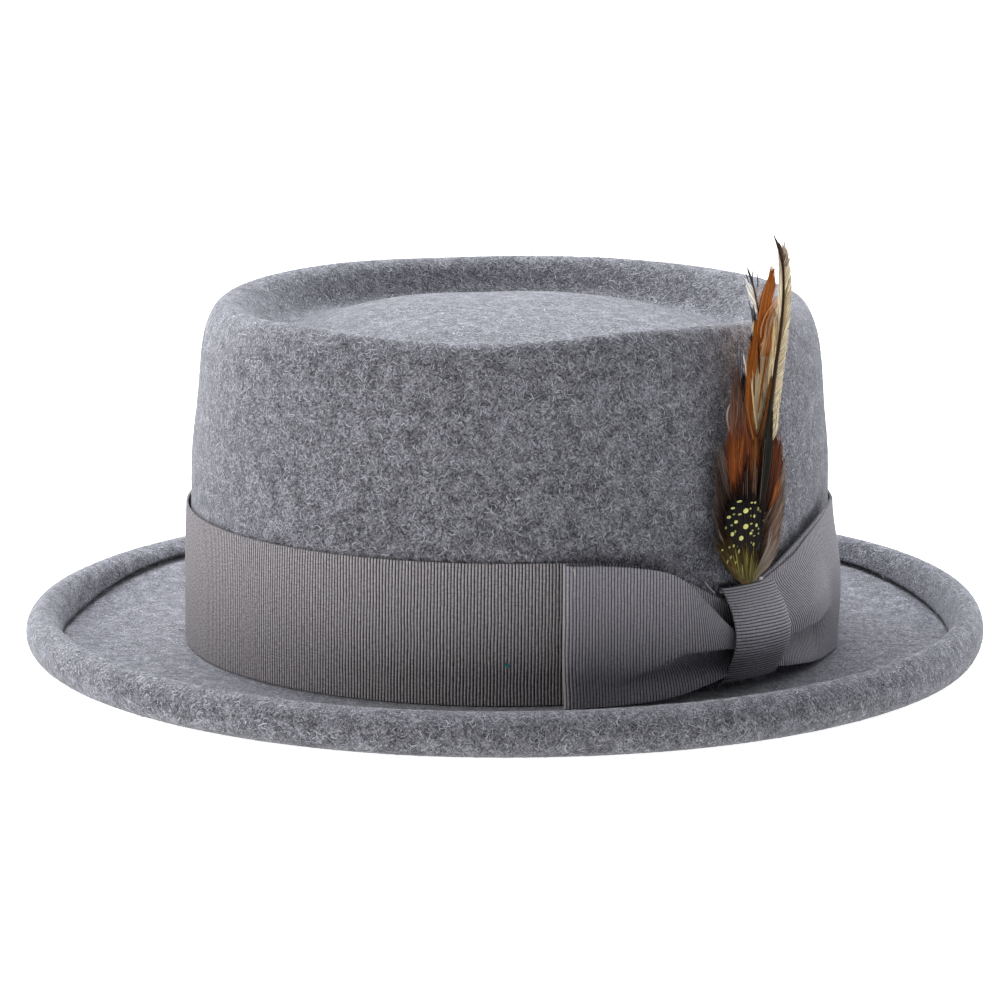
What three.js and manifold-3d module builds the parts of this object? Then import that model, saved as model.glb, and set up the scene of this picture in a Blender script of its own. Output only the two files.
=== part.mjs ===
import * as THREE from 'three';
import { mergeVertices } from 'three/addons/utils/BufferGeometryUtils.js';
import Module from 'manifold-3d';

// Porkpie hat of wool felt with a ribbon band, a flat bow and a bundle of feathers.
// Millimetres, +Z up. The front is towards -Y and the wearer's left is +X, where the bow sits.
// The origin is on the floor under the middle of the brim.

const wasm = await Module();
wasm.setup();

// Felt body
const feltThickness = 2.6;
const ovalSpread = 2.4;
const crownSetBack = 1.3;
const domeHeight = 98;
const valleyRadius = 70;
const valleyHeight = 92.6;
const domeFlat = 42;
const valleyEase = 8;
const valleyRound = 5;
const ridgeRound = 6;
const ridgeRadius = 82;
const ridgeHeight = 103.3;
const shoulderRadius = 90.5;
const shoulderHeight = 82.5;
const footRadius = 94.8;
const footHeight = 27;
const wallBend = 1.8;
const shoulderRound = 11;
const breakRadius = 1.6;
const breakRise = 1.4;
const brimRadius = 140.6;
const restWidth = 5;
const rollRadius = 4.8;
const rollRearGain = 1.1;
const rollEndAngle = 150;
const rollTail = 1.5;
const plateEase = 14;
const feltSegments = 60;

// Ribbon
const ribbonThickness = 1;
const ribbonWidth = 40;
const ribbonGap = 0.35;
const bandBottom = 4.4;
const bandPinchDepth = 14;
const bandPinchRise = 5;
const bandPinchAngle = 11;
const bandColumns = [0, 0.5, 1];
const bandSegments = 90;

// Bow
const frontLoopAngle = 35;
const rearLoopAngle = 35.5;
const loopPuff = 6.5;
const loopEndGap = 0.8;
const grooveDepth = 3.2;
const grooveHeight = 0.4;
const grooveSpread = 0.13;
const loopColumns = [0, 0.2, 0.38, 0.5, 0.75, 1];
const loopSteps = 26;
const knotWidth = 21;
const knotBulge = 7.6;
const knotTop = 34;
const knotBottom = 6.4;
const knotColumns = [-0.5, -0.25, 0, 0.25, 0.5];
const knotSteps = 13;

// Feathers
const featherThickness = 0.7;
const featherSpacing = 1.05;
const plumeFoot = 32;
const plumeHeight = 99;
const plumeWidth = 27;
const quillWidth = 1.15;
const quillTipShare = 0.5;
const quillSteps = 5;
const quillOverlap = 1.15;
const barbTipShare = 0.3;
const barbOverlap = 1.7;
const barbReachLeast = 1.5;
const sliverWidth = 0.05;
const vaneEnd = 0.97;

// Each row is one section along a bow loop, from its back layer at the knot, round the end fold
// and along its front layer to the knot again. reach is a share of the loop's angle, out of
// loopPuff, low and high of ribbonWidth above the band's bottom edge, and groove of grooveDepth.
const frontLoopSections = [
  { reach: 0.00, out: 0.02, low: 0.16, high: 0.62, groove: 0 },
  { reach: 0.20, out: 0.02, low: 0.11, high: 0.70, groove: 0 },
  { reach: 0.42, out: 0.00, low: 0.04, high: 0.90, groove: 0 },
  { reach: 0.70, out: 0.00, low: 0.01, high: 0.99, groove: 0 },
  { reach: 0.97, out: 0.00, low: 0.00, high: 1.00, groove: 0 },
  { reach: 1.00, out: 0.14, low: 0.00, high: 1.00, groove: 0 },
  { reach: 0.97, out: 0.28, low: 0.00, high: 1.00, groove: 0 },
  { reach: 0.72, out: 0.40, low: 0.00, high: 0.99, groove: 0.05 },
  { reach: 0.50, out: 0.70, low: 0.02, high: 0.93, groove: 0.35 },
  { reach: 0.32, out: 0.86, low: 0.07, high: 0.74, groove: 0.75 },
  { reach: 0.17, out: 0.66, low: 0.13, high: 0.56, groove: 0.4 },
  { reach: 0.00, out: 0.46, low: 0.19, high: 0.46, groove: 0.1 },
];
const rearLoopSections = [
  { reach: 0.00, out: 0.02, low: 0.16, high: 0.62, groove: 0 },
  { reach: 0.20, out: 0.02, low: 0.11, high: 0.70, groove: 0 },
  { reach: 0.42, out: 0.00, low: 0.04, high: 0.90, groove: 0 },
  { reach: 0.70, out: 0.00, low: 0.01, high: 1.05, groove: 0 },
  { reach: 0.97, out: 0.00, low: 0.00, high: 1.13, groove: 0 },
  { reach: 1.00, out: 0.15, low: 0.00, high: 1.14, groove: 0 },
  { reach: 0.97, out: 0.30, low: 0.00, high: 1.14, groove: 0 },
  { reach: 0.72, out: 0.48, low: 0.01, high: 1.06, groove: 0.3 },
  { reach: 0.50, out: 0.62, low: 0.03, high: 0.93, groove: 0.75 },
  { reach: 0.32, out: 0.60, low: 0.07, high: 0.80, groove: 0.5 },
  { reach: 0.17, out: 0.48, low: 0.13, high: 0.66, groove: 0.2 },
  { reach: 0.00, out: 0.42, low: 0.19, high: 0.58, groove: 0.1 },
];

// Each row is one section of the knot's wrap, from its tucked end above the loops, over the
// front and under them. out is a share of knotBulge, rise of the knot's height.
const knotSections = [
  { out: 0.52, rise: 1.00 },
  { out: 0.66, rise: 0.99 },
  { out: 0.82, rise: 0.87 },
  { out: 0.96, rise: 0.66 },
  { out: 1.00, rise: 0.46 },
  { out: 0.92, rise: 0.25 },
  { out: 0.72, rise: 0.08 },
  { out: 0.46, rise: 0.00 },
  { out: 0.22, rise: 0.02 },
];

// Each row is one feather. top, sway and bend place the shaft's tip and its middle as shares of
// plumeHeight and plumeWidth, before and behind are its vane's widths as shares of plumeWidth,
// start is where the vane begins along the shaft, and layer counts outwards from the felt.
const feathers = [
  {
    name: 'feather_rust_body', layer: 0, top: 0.68, sway: -0.12, bend: 0.12, start: 0.06,
    before: 0.40, behind: 0.44, barbs: 10, barbAngle: 24, fullness: 0.5, colour: 0x8a4420,
  },
  {
    name: 'feather_dark_tip', layer: 1, top: 0.92, sway: -0.05, bend: 0.14, start: 0.55,
    before: 0.06, behind: 0.08, barbs: 7, barbAngle: 16, fullness: 0.6, colour: 0xd8d2c4,
  },
  {
    name: 'feather_orange', layer: 2, top: 0.91, sway: 0.34, bend: 0.10, start: 0.36,
    before: 0.20, behind: 0.17, barbs: 9, barbAngle: 18, fullness: 0.62, colour: 0xb4622a,
  },
  {
    name: 'feather_long_cream', layer: 3, top: 1.00, sway: 0.36, bend: 0.46, start: 0.40,
    before: 0.045, behind: 0.17, barbs: 9, barbAngle: 15, fullness: 0.75, colour: 0xcdb48a,
  },
  {
    name: 'feather_spotted', layer: 4, top: 0.25, sway: 0.02, bend: 0.02, start: 0.08,
    before: 0.31, behind: 0.31, barbs: 8, barbAngle: 32, fullness: 0.42, colour: 0x2c2a1e,
  },
];

const degree = Math.PI / 180;
const halfFelt = feltThickness / 2;
const bowOut = 2 * ribbonGap + 1.5 * ribbonThickness;

// The crown is a mild oval that sits a little behind the middle of the brim.
function hatPoint(angle, radius, height) {
  const oval = ovalSpread * Math.min(1, radius / ridgeRadius);
  const towardsEdge = THREE.MathUtils.clamp((radius - footRadius) / (brimRadius - footRadius), 0, 1);
  return new THREE.Vector3(
    (radius - oval) * Math.cos(angle),
    (radius + oval) * Math.sin(angle) + crownSetBack * (1 - towardsEdge),
    height,
  );
}

// Outer radius of the crown's side at a height.
function wallRadius(height) {
  const share = THREE.MathUtils.clamp((height - footHeight) / (shoulderHeight - footHeight), 0, 1);
  return footRadius - (footRadius - shoulderRadius) * share ** wallBend;
}

// A point of something that lies on the crown's side, out by the given distance.
function wallPoint(angle, height, out) {
  return hatPoint(angle, wallRadius(height) + out, height);
}

// Closed solid through sections of equal length. A ring joins its last section to its first.
function solidThrough(sections, ring) {
  const count = sections[0].length;
  const position = sections.flat().flatMap((point) => point.toArray());
  const corner = (i, j) => (i % sections.length) * count + (j % count);
  const apart = (a, b) => {
    const step = (axis) => position[3 * a + axis] - position[3 * b + axis];
    return Math.hypot(step(0), step(1), step(2)) > 1e-6;
  };
  const index = [];
  const addTriangle = (a, b, c) => {
    if (apart(a, b) && apart(b, c) && apart(c, a)) {
      index.push(a, b, c);
    }
  };
  for (let i = 0; i < sections.length - (ring ? 0 : 1); i++) {
    for (let j = 0; j < count; j++) {
      addTriangle(corner(i, j), corner(i + 1, j), corner(i + 1, j + 1));
      addTriangle(corner(i, j), corner(i + 1, j + 1), corner(i, j + 1));
    }
  }
  if (!ring) {
    // A section runs up one face and down the other, so its ends close like a ladder.
    const last = sections.length - 1;
    for (let j = 0; j < count / 2 - 1; j++) {
      const across = count - 1 - j;
      addTriangle(corner(0, j), corner(0, j + 1), corner(0, across - 1));
      addTriangle(corner(0, j), corner(0, across - 1), corner(0, across));
      addTriangle(corner(last, j), corner(last, across - 1), corner(last, j + 1));
      addTriangle(corner(last, j), corner(last, across), corner(last, across - 1));
    }
  }
  const geometry = new THREE.BufferGeometry();
  geometry.setAttribute('position', new THREE.Float32BufferAttribute(position, 3));
  geometry.setIndex(index);
  return facedOut(mergeVertices(geometry, 1e-4));
}

// Turns a closed mesh inside out if its faces point inwards.
function facedOut(geometry) {
  const position = geometry.getAttribute('position');
  const index = geometry.getIndex();
  const [a, b, c] = [new THREE.Vector3(), new THREE.Vector3(), new THREE.Vector3()];
  let volume = 0;
  for (let i = 0; i < index.count; i += 3) {
    a.fromBufferAttribute(position, index.getX(i));
    b.fromBufferAttribute(position, index.getX(i + 1));
    c.fromBufferAttribute(position, index.getX(i + 2));
    volume += a.dot(b.cross(c));
  }
  if (volume < 0) {
    for (let i = 0; i < index.count; i += 3) {
      const first = index.getX(i);
      index.setX(i, index.getX(i + 1));
      index.setX(i + 1, first);
    }
  }
  geometry.computeVertexNormals();
  return geometry;
}

function arc(centre, radius, startAngle, endAngle) {
  return new THREE.EllipseCurve(centre.x, centre.y, radius, radius, startAngle, endAngle);
}

// Middle line of the felt at one angle, as curves of radius and height, with steps for each.
function feltLine(angle) {
  const roll = rollRadius + rollRearGain * (0.5 + 0.5 * Math.sin(angle));
  const at = (radius, height) => new THREE.Vector2(radius, height);
  const dome = at(0, domeHeight - halfFelt);
  const valley = at(valleyRadius, valleyHeight - halfFelt);
  const ridge = at(ridgeRadius, ridgeHeight - halfFelt);
  const shoulder = at(shoulderRadius - halfFelt, shoulderHeight);
  const foot = at(footRadius - halfFelt, footHeight);
  const breakTop = at(foot.x, breakRise + halfFelt + breakRadius);
  const breakEnd = at(foot.x + breakRadius, breakRise + halfFelt);
  const rollStart = at(brimRadius - halfFelt - roll, halfFelt);
  const restStart = at(rollStart.x - restWidth, halfFelt);
  const wallSlope = (wallBend * (footRadius - shoulderRadius)) / (shoulderHeight - footHeight);
  const rollEnd = rollEndAngle * degree;
  const tailStart = at(roll * Math.cos(rollEnd), roll + roll * Math.sin(rollEnd)).add(rollStart);
  const tailEnd = at(-rollTail * Math.sin(rollEnd), rollTail * Math.cos(rollEnd)).add(tailStart);
  const wall = new THREE.SplineCurve([0, 0.25, 0.5, 0.75, 1].map((share) => {
    const height = THREE.MathUtils.lerp(shoulder.y, foot.y, share);
    return at(wallRadius(height) - halfFelt, height);
  }));
  return [
    {
      steps: 3,
      curve: new THREE.CubicBezierCurve(
        dome,
        at(domeFlat, dome.y),
        at(valley.x - valleyEase, valley.y),
        valley,
      ),
    },
    {
      steps: 3,
      curve: new THREE.CubicBezierCurve(
        valley,
        at(valley.x + valleyRound, valley.y),
        at(ridge.x - ridgeRound, ridge.y),
        ridge,
      ),
    },
    {
      steps: 3,
      curve: new THREE.CubicBezierCurve(
        ridge,
        at(THREE.MathUtils.lerp(ridge.x, shoulder.x, 0.6), ridge.y),
        at(shoulder.x - wallSlope * shoulderRound, shoulder.y + shoulderRound),
        shoulder,
      ),
    },
    { steps: 2, curve: wall },
    { steps: 1, curve: new THREE.LineCurve(foot, breakTop) },
    { steps: 1, curve: arc(at(breakEnd.x, breakTop.y), breakRadius, Math.PI, 1.5 * Math.PI) },
    {
      steps: 1,
      curve: new THREE.CubicBezierCurve(
        breakEnd,
        at(breakEnd.x + plateEase, breakEnd.y),
        at(restStart.x - plateEase, restStart.y),
        restStart,
      ),
    },
    { steps: 1, curve: new THREE.LineCurve(restStart, rollStart) },
    { steps: 7, curve: arc(at(rollStart.x, rollStart.y + roll), roll, -0.5 * Math.PI, rollEnd) },
    { steps: 1, curve: new THREE.LineCurve(tailStart, tailEnd) },
  ];
}

// Crown, brim and rolled edge are one felt. Each section runs over the outside from the top's
// middle to the raw edge and back along the inside.
function feltBody() {
  const sections = [];
  for (let i = 0; i < feltSegments; i++) {
    const angle = (2 * Math.PI * i) / feltSegments;
    const outside = [];
    const inside = [];
    let edge;
    feltLine(angle).forEach(({ curve, steps }, order) => {
      for (let k = order === 0 ? 0 : 1; k <= steps; k++) {
        const middle = curve.getPoint(k / steps);
        const along = curve.getTangent(k / steps);
        const across = new THREE.Vector2(-along.y, along.x).multiplyScalar(halfFelt);
        outside.push(middle.clone().add(across));
        inside.push(middle.clone().sub(across));
        edge = middle.clone().add(along.multiplyScalar(halfFelt));
      }
    });
    const outline = [...outside, edge, ...inside.reverse()];
    sections.push(outline.map((point) => hatPoint(angle, point.x, point.y)));
  }
  return solidThrough(sections, true);
}

// The ribbon's ring stands on the brim against the crown's side. Its edges draw in behind the knot.
function hatBand() {
  const sections = [];
  for (let i = 0; i < bandSegments; i++) {
    const angle = (2 * Math.PI * i) / bandSegments;
    const fromKnot = Math.atan2(Math.sin(angle), Math.cos(angle)) / (bandPinchAngle * degree);
    const pinch = Math.exp(-(fromKnot ** 2));
    const low = bandBottom + bandPinchRise * pinch;
    const high = bandBottom + ribbonWidth - bandPinchDepth * pinch;
    const heights = bandColumns.map((share) => THREE.MathUtils.lerp(low, high, share));
    sections.push([
      ...heights.map((height) => wallPoint(angle, height, ribbonGap)),
      ...heights.reverse().map((height) => wallPoint(angle, height, ribbonGap + ribbonThickness)),
    ]);
  }
  return solidThrough(sections, true);
}

// Gives a grid of points the ribbon's thickness. Rows run along the ribbon, columns across it.
function ribbonSolid(grid) {
  const rows = grid.length;
  const columns = grid[0].length;
  const sections = grid.map((row, i) => {
    const faces = row.map((point, j) => {
      const along = grid[Math.min(i + 1, rows - 1)][j].clone().sub(grid[Math.max(i - 1, 0)][j]);
      const across = row[Math.min(j + 1, columns - 1)].clone().sub(row[Math.max(j - 1, 0)]);
      return along.cross(across).normalize().multiplyScalar(ribbonThickness / 2);
    });
    const front = row.map((point, j) => point.clone().add(faces[j]));
    const back = row.map((point, j) => point.clone().sub(faces[j]));
    return [...front, ...back.reverse()];
  });
  return solidThrough(sections, false);
}

// Smooth value of one column of a table at a share of the way down its rows.
function tableValue(table, column, share) {
  const curve = new THREE.SplineCurve(table.map((row, i) => new THREE.Vector2(i, row[column])));
  return curve.getPoint(share).y;
}

// One bow loop is a ribbon that runs out along the crown, folds back and returns to the knot.
function bowLoop(table, loopAngle, side) {
  const grid = [];
  for (let i = 0; i <= loopSteps; i++) {
    const share = i / loopSteps;
    const value = (column) => tableValue(table, column, share);
    const reachAngle = value('reach') * loopAngle * degree;
    const angle = side * (reachAngle + loopEndGap / footRadius);
    const row = [];
    for (const across of loopColumns) {
      const rise = THREE.MathUtils.lerp(value('low'), value('high'), across);
      const dip = Math.exp(-(((across - grooveHeight) / grooveSpread) ** 2));
      const groove = grooveDepth * value('groove') * dip;
      const out = bowOut + Math.max(loopPuff * value('out'), 0) - groove;
      const height = bandBottom + ribbonWidth * rise;
      row.push(wallPoint(angle, height, out));
    }
    grid.push(row);
  }
  return ribbonSolid(grid);
}

// The knot is a short ribbon over the loops' waist, tucked in above and below them.
function bowKnot() {
  const grid = [];
  for (let i = 0; i <= knotSteps; i++) {
    const value = (column) => tableValue(knotSections, column, i / knotSteps);
    const height = THREE.MathUtils.lerp(knotBottom, knotTop, value('rise'));
    const row = [];
    for (const across of knotColumns) {
      const angle = (across * knotWidth) / footRadius;
      row.push(wallPoint(angle, height, bowOut + knotBulge * value('out')));
    }
    grid.push(row);
  }
  return ribbonSolid(grid);
}

// A closed mesh as a solid that can be joined to others.
function toSolid(geometry) {
  geometry.deleteAttribute('normal');
  geometry.deleteAttribute('uv');
  const merged = mergeVertices(geometry, 1e-4);
  return new wasm.Manifold(new wasm.Mesh({
    numProp: 3,
    vertProperties: new Float32Array(merged.getAttribute('position').array),
    triVerts: new Uint32Array(merged.getIndex().array),
  }));
}

// A joined solid as a mesh again.
function toGeometry(solid) {
  const mesh = solid.getMesh();
  const geometry = new THREE.BufferGeometry();
  geometry.setAttribute('position', new THREE.Float32BufferAttribute(mesh.vertProperties, 3));
  geometry.setIndex(new THREE.Uint32BufferAttribute(mesh.triVerts, 1));
  geometry.computeVertexNormals();
  return geometry;
}

// A flat tapering lock between two points of the feather's own plane, x across and y up.
function taperedLock(from, to, rootWidth, tipWidth) {
  const length = from.distanceTo(to);
  const outline = new THREE.Shape([
    new THREE.Vector2(-rootWidth / 2, 0),
    new THREE.Vector2(rootWidth / 2, 0),
    new THREE.Vector2(tipWidth / 2, length),
    new THREE.Vector2(-tipWidth / 2, length),
  ]);
  const lock = new THREE.ExtrudeGeometry(outline, { depth: featherThickness, bevelEnabled: false });
  lock.translate(0, 0, -featherThickness / 2);
  lock.rotateZ(Math.atan2(to.y - from.y, to.x - from.x) - Math.PI / 2);
  lock.translate(from.x, from.y, 0);
  return lock;
}

// Width of a vane along the shaft as a share of its widest, which lies nearer the root when
// fullness is small.
function vaneShape(share, fullness) {
  const rootShare = 0.12;
  return Math.sin(Math.PI * (rootShare + (1 - rootShare) * share ** fullness)) ** 0.7;
}

// A feather is a tapering shaft with barb locks fused to both sides of it. It is drawn flat and
// then stood against the crown, where it follows a plane at its own layer.
function feather({ top, sway, bend, start, before, behind, barbs, barbAngle, fullness, layer }) {
  const height = top * plumeHeight;
  const shaft = new THREE.QuadraticBezierCurve(
    new THREE.Vector2(0, 0),
    new THREE.Vector2(bend * plumeWidth, 0.5 * height),
    new THREE.Vector2(sway * plumeWidth, height),
  );
  const locks = [];
  for (let i = 0; i < quillSteps; i++) {
    const from = shaft.getPoint(i / quillSteps);
    const to = shaft.getPoint(Math.min(1, (i + quillOverlap) / quillSteps));
    const widthAt = (step) => quillWidth * THREE.MathUtils.lerp(1, quillTipShare, step / quillSteps);
    locks.push(taperedLock(from, to, widthAt(i), widthAt(i + 1)));
  }
  const angle = barbAngle * degree;
  const rootWidth = ((vaneEnd - start) * height * Math.sin(angle) * barbOverlap) / barbs;
  for (const [side, width] of [[-1, before], [1, behind]]) {
    for (let i = 0; i < barbs; i++) {
      const share = i / (barbs - 1);
      const along = THREE.MathUtils.lerp(start, vaneEnd, share);
      const root = shaft.getPoint(along);
      const direction = shaft.getTangent(along).rotateAround(new THREE.Vector2(), -side * angle);
      const reach = (width * plumeWidth * vaneShape(share, fullness)) / Math.sin(angle);
      const headroom = (height - root.y) / direction.y;
      const length = Math.max(Math.min(reach, headroom), barbReachLeast);
      const tip = root.clone().add(direction.multiplyScalar(length));
      locks.push(taperedLock(root, tip, rootWidth, barbTipShare * rootWidth));
    }
  }
  const joined = locks.map(toSolid).reduce((sum, lock) => sum.add(lock));
  const flat = toGeometry(joined.simplify(sliverWidth));
  const position = flat.getAttribute('position');
  for (let i = 0; i < position.count; i++) {
    const out = ribbonGap + featherThickness / 2 + layer * featherSpacing + position.getZ(i);
    const angle = position.getX(i) / footRadius;
    const point = hatPoint(angle, footRadius + out, plumeFoot + position.getY(i));
    position.setXYZ(i, point.x, point.y, point.z);
  }
  return facedOut(flat);
}

function makeMaterial(color, roughness) {
  return new THREE.MeshStandardMaterial({ color, roughness, metalness: 0, side: THREE.FrontSide });
}

const feltMaterial = makeMaterial(0x85868b, 0.95);
const ribbonMaterial = makeMaterial(0x5f5c5d, 0.7);

const hat = new THREE.Group();
function addPiece(name, geometry, material) {
  const piece = new THREE.Mesh(geometry, material);
  piece.name = name;
  hat.add(piece);
}

addPiece('felt_body', feltBody(), feltMaterial);
addPiece('hat_band', hatBand(), ribbonMaterial);
addPiece('bow_front_loop', bowLoop(frontLoopSections, frontLoopAngle, -1), ribbonMaterial);
addPiece('bow_rear_loop', bowLoop(rearLoopSections, rearLoopAngle, 1), ribbonMaterial);
addPiece('bow_knot', bowKnot(), ribbonMaterial);
for (const row of feathers) {
  addPiece(row.name, feather(row), makeMaterial(row.colour, 0.6));
}

export default hat;
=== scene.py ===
import math
import bpy
import numpy as np
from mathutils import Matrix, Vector, noise


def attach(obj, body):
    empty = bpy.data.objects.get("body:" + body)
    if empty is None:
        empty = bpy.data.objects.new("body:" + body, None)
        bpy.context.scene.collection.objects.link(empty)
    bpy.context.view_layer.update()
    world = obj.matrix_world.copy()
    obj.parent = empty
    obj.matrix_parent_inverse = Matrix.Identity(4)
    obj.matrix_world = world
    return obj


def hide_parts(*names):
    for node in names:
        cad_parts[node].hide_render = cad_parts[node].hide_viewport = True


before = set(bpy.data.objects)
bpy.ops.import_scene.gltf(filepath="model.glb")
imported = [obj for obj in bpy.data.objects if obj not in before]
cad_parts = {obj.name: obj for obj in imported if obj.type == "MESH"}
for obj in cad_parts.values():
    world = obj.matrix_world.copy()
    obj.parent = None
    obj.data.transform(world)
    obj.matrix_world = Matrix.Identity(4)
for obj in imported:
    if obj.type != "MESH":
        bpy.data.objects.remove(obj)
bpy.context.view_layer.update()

mm = 0.001

# The hat's own shape, in millimetres as in the CAD
shape = {
    "oval": 2.4, "setBack": 1.3, "ridgeRadius": 82, "footRadius": 93.4, "brimRadius": 140.1,
    "shoulderRadius": 90.5, "shoulderHeight": 82.5, "footHeight": 27, "wallBend": 1.8,
}


def hatPoint(angle, radius, height):
    # the crown is a mild oval, set back a little on the brim
    oval = shape["oval"] * np.minimum(1, radius / shape["ridgeRadius"])
    brimSpan = shape["brimRadius"] - shape["footRadius"]
    edge = np.clip((radius - shape["footRadius"]) / brimSpan, 0, 1)
    x = (radius - oval) * np.cos(angle)
    y = (radius + oval) * np.sin(angle) + shape["setBack"] * (1 - edge)
    return np.stack(np.broadcast_arrays(x, y, height), -1) * mm


def wallRadius(height):
    span = shape["shoulderHeight"] - shape["footHeight"]
    share = np.clip((height - shape["footHeight"]) / span, 0, 1)
    lean = shape["footRadius"] - shape["shoulderRadius"]
    return shape["footRadius"] - lean * share ** shape["wallBend"]


def wallPoint(angle, height, out):
    return hatPoint(angle, wallRadius(height) + out, height)


# Mesh helpers
def activate(obj):
    bpy.ops.object.select_all(action="DESELECT")
    obj.select_set(True)
    bpy.context.view_layer.objects.active = obj


def makeMesh(name, points, faces, uvs=None, tones=None):
    mesh = bpy.data.meshes.new(name)
    mesh.from_pydata(points.tolist(), [], faces.tolist() if hasattr(faces, "tolist") else faces)
    if uvs is not None:
        layer = mesh.uv_layers.new(name="ribbonUv")
        corners = np.zeros(len(mesh.loops), np.int32)
        mesh.loops.foreach_get("vertex_index", corners)
        layer.data.foreach_set("uv", uvs[corners].astype(np.float32).ravel())
    if tones is not None:
        layer = mesh.color_attributes.new("tone", "FLOAT_COLOR", "POINT")
        layer.data.foreach_set("color", tones.astype(np.float32).ravel())
    mesh.update()
    obj = bpy.data.objects.new(name, mesh)
    bpy.context.scene.collection.objects.link(obj)
    return obj


def gridFaces(rows, columns, ring):
    i, j = np.meshgrid(np.arange(rows if ring else rows - 1), np.arange(columns - 1), indexing="ij")
    n = (i + 1) % rows
    quads = [i * columns + j, n * columns + j, n * columns + j + 1, i * columns + j + 1]
    return np.stack(quads, -1).reshape(-1, 4)


def thicken(obj, thickness, even):
    activate(obj)
    bpy.ops.object.modifier_add(type="SOLIDIFY")
    modifier = obj.modifiers[-1]
    modifier.thickness = thickness * mm
    modifier.offset = 0
    modifier.use_even_offset = even
    bpy.ops.object.modifier_apply(modifier=modifier.name)


def faceOut(obj):
    activate(obj)
    bpy.ops.object.mode_set(mode="EDIT")
    bpy.ops.mesh.select_all(action="SELECT")
    bpy.ops.mesh.normals_make_consistent(inside=False)
    bpy.ops.object.mode_set(mode="OBJECT")


def settle(obj, material, nodeName=None):
    obj.data.materials.clear()
    obj.data.materials.append(material)
    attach(obj, "root")
    if nodeName:
        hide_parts(nodeName)


def linear(hexTone):
    parts = np.array([int(hexTone[k:k + 2], 16) for k in (0, 2, 4)]) / 255
    return np.where(parts <= 0.04045, parts / 12.92, ((parts + 0.055) / 1.055) ** 2.4)


def opaque(hexTone):
    return (*linear(hexTone), 1)


def blendTones(tones, share):
    first, last = (linear(tone) for tone in tones)
    return first * (1 - share) + last * share


def smoothShare(value):
    value = np.clip(value, 0, 1)
    return value * value * (3 - 2 * value)


# Material helpers
def newMaterial(name):
    material = bpy.data.materials.new(name)
    material.use_nodes = True
    return material, material.node_tree, material.node_tree.nodes["Principled BSDF"]


nodeStep = 220
longestLine = 20


def fillInputs(tree, node, values):
    # a socket is linked, anything else is set
    for key, value in values.items():
        if isinstance(value, bpy.types.NodeSocket):
            tree.links.new(value, node.inputs[key])
        else:
            node.inputs[key].default_value = value


def addNode(tree, kind, inputs=None, **values):
    # nodes stand in one line, from left to right
    made = tree.nodes.new(kind if kind.startswith("NodeGroup") else "ShaderNode" + kind)
    made.location = (nodeStep * (len(tree.nodes) - longestLine), 0)
    for key, value in values.items():
        setattr(made, key, value)
    fillInputs(tree, made, inputs or {})
    return made


def addMath(tree, operation, *terms):
    return addNode(tree, "Math", dict(enumerate(terms)), operation=operation).outputs[0]


def addVectorMath(tree, operation, inputs):
    return addNode(tree, "VectorMath", inputs, operation=operation).outputs[0]


def addSmoothRange(tree, inputs):
    return addNode(tree, "MapRange", inputs, interpolation_type="SMOOTHSTEP").outputs["Result"]


def addMix(tree, share, first, second):
    return addNode(tree, "Mix", {"Factor": share, 6: first, 7: second}, data_type="RGBA").outputs[2]


def addRamp(tree, stops, fac):
    ramp = addNode(tree, "ValToRGB", {"Fac": fac})
    for k, (place, tone) in enumerate(stops):
        stop = ramp.color_ramp.elements[k] if k < 2 else ramp.color_ramp.elements.new(place)
        stop.position = place
        stop.color = opaque(tone)
    return ramp.outputs["Color"]


def addGroup(name, inputs, outputs):
    group = bpy.data.node_groups.new(name, "ShaderNodeTree")
    for label, kind, value in inputs:
        socket = group.interface.new_socket(label, in_out="INPUT", socket_type="NodeSocket" + kind)
        if value is not None:
            socket.default_value = value
    for label in outputs:
        group.interface.new_socket(label, in_out="OUTPUT", socket_type="NodeSocketFloat")
    start = addNode(group, "NodeGroupInput")
    end = addNode(group, "NodeGroupOutput")
    end.location = (nodeStep, 0)
    return group, start, end


# Fibre strokes: thin streaks of noise that lie in one direction and wander a little
def fibreGroup():
    wander = {"scale": 260, "reach": 2.2 * mm}
    inputs = [
        ("Vector", "Vector", None), ("Turn", "Vector", None),
        ("Fineness", "Float", 1600.0), ("Stretch", "Float", 0.3),
    ]
    group, start, end = addGroup("fibreStrokes", inputs, ["Value"])
    place = start.outputs["Vector"]
    drift = addNode(group, "TexNoise", {"Scale": wander["scale"], "Vector": place})
    centred = addVectorMath(group, "SUBTRACT", {0: drift.outputs["Color"], 1: (0.5, 0.5, 0.5)})
    scaled = addVectorMath(group, "SCALE", {0: centred, "Scale": wander["reach"]})
    moved = addVectorMath(group, "ADD", {0: place, 1: scaled})
    turned = addNode(group, "VectorRotate", {
        "Vector": moved, "Rotation": start.outputs["Turn"],
    }, rotation_type="EULER_XYZ")
    squeeze = addNode(group, "CombineXYZ", {"X": start.outputs["Stretch"], "Y": 1, "Z": 1})
    stretched = addVectorMath(group, "MULTIPLY", {0: turned.outputs[0], 1: squeeze.outputs[0]})
    strokes = addNode(group, "TexNoise", {
        "Detail": 1.5, "Roughness": 0.6, "Vector": stretched, "Scale": start.outputs["Fineness"],
    })
    fillInputs(group, end, {"Value": strokes.outputs["Fac"]})
    return group


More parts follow.
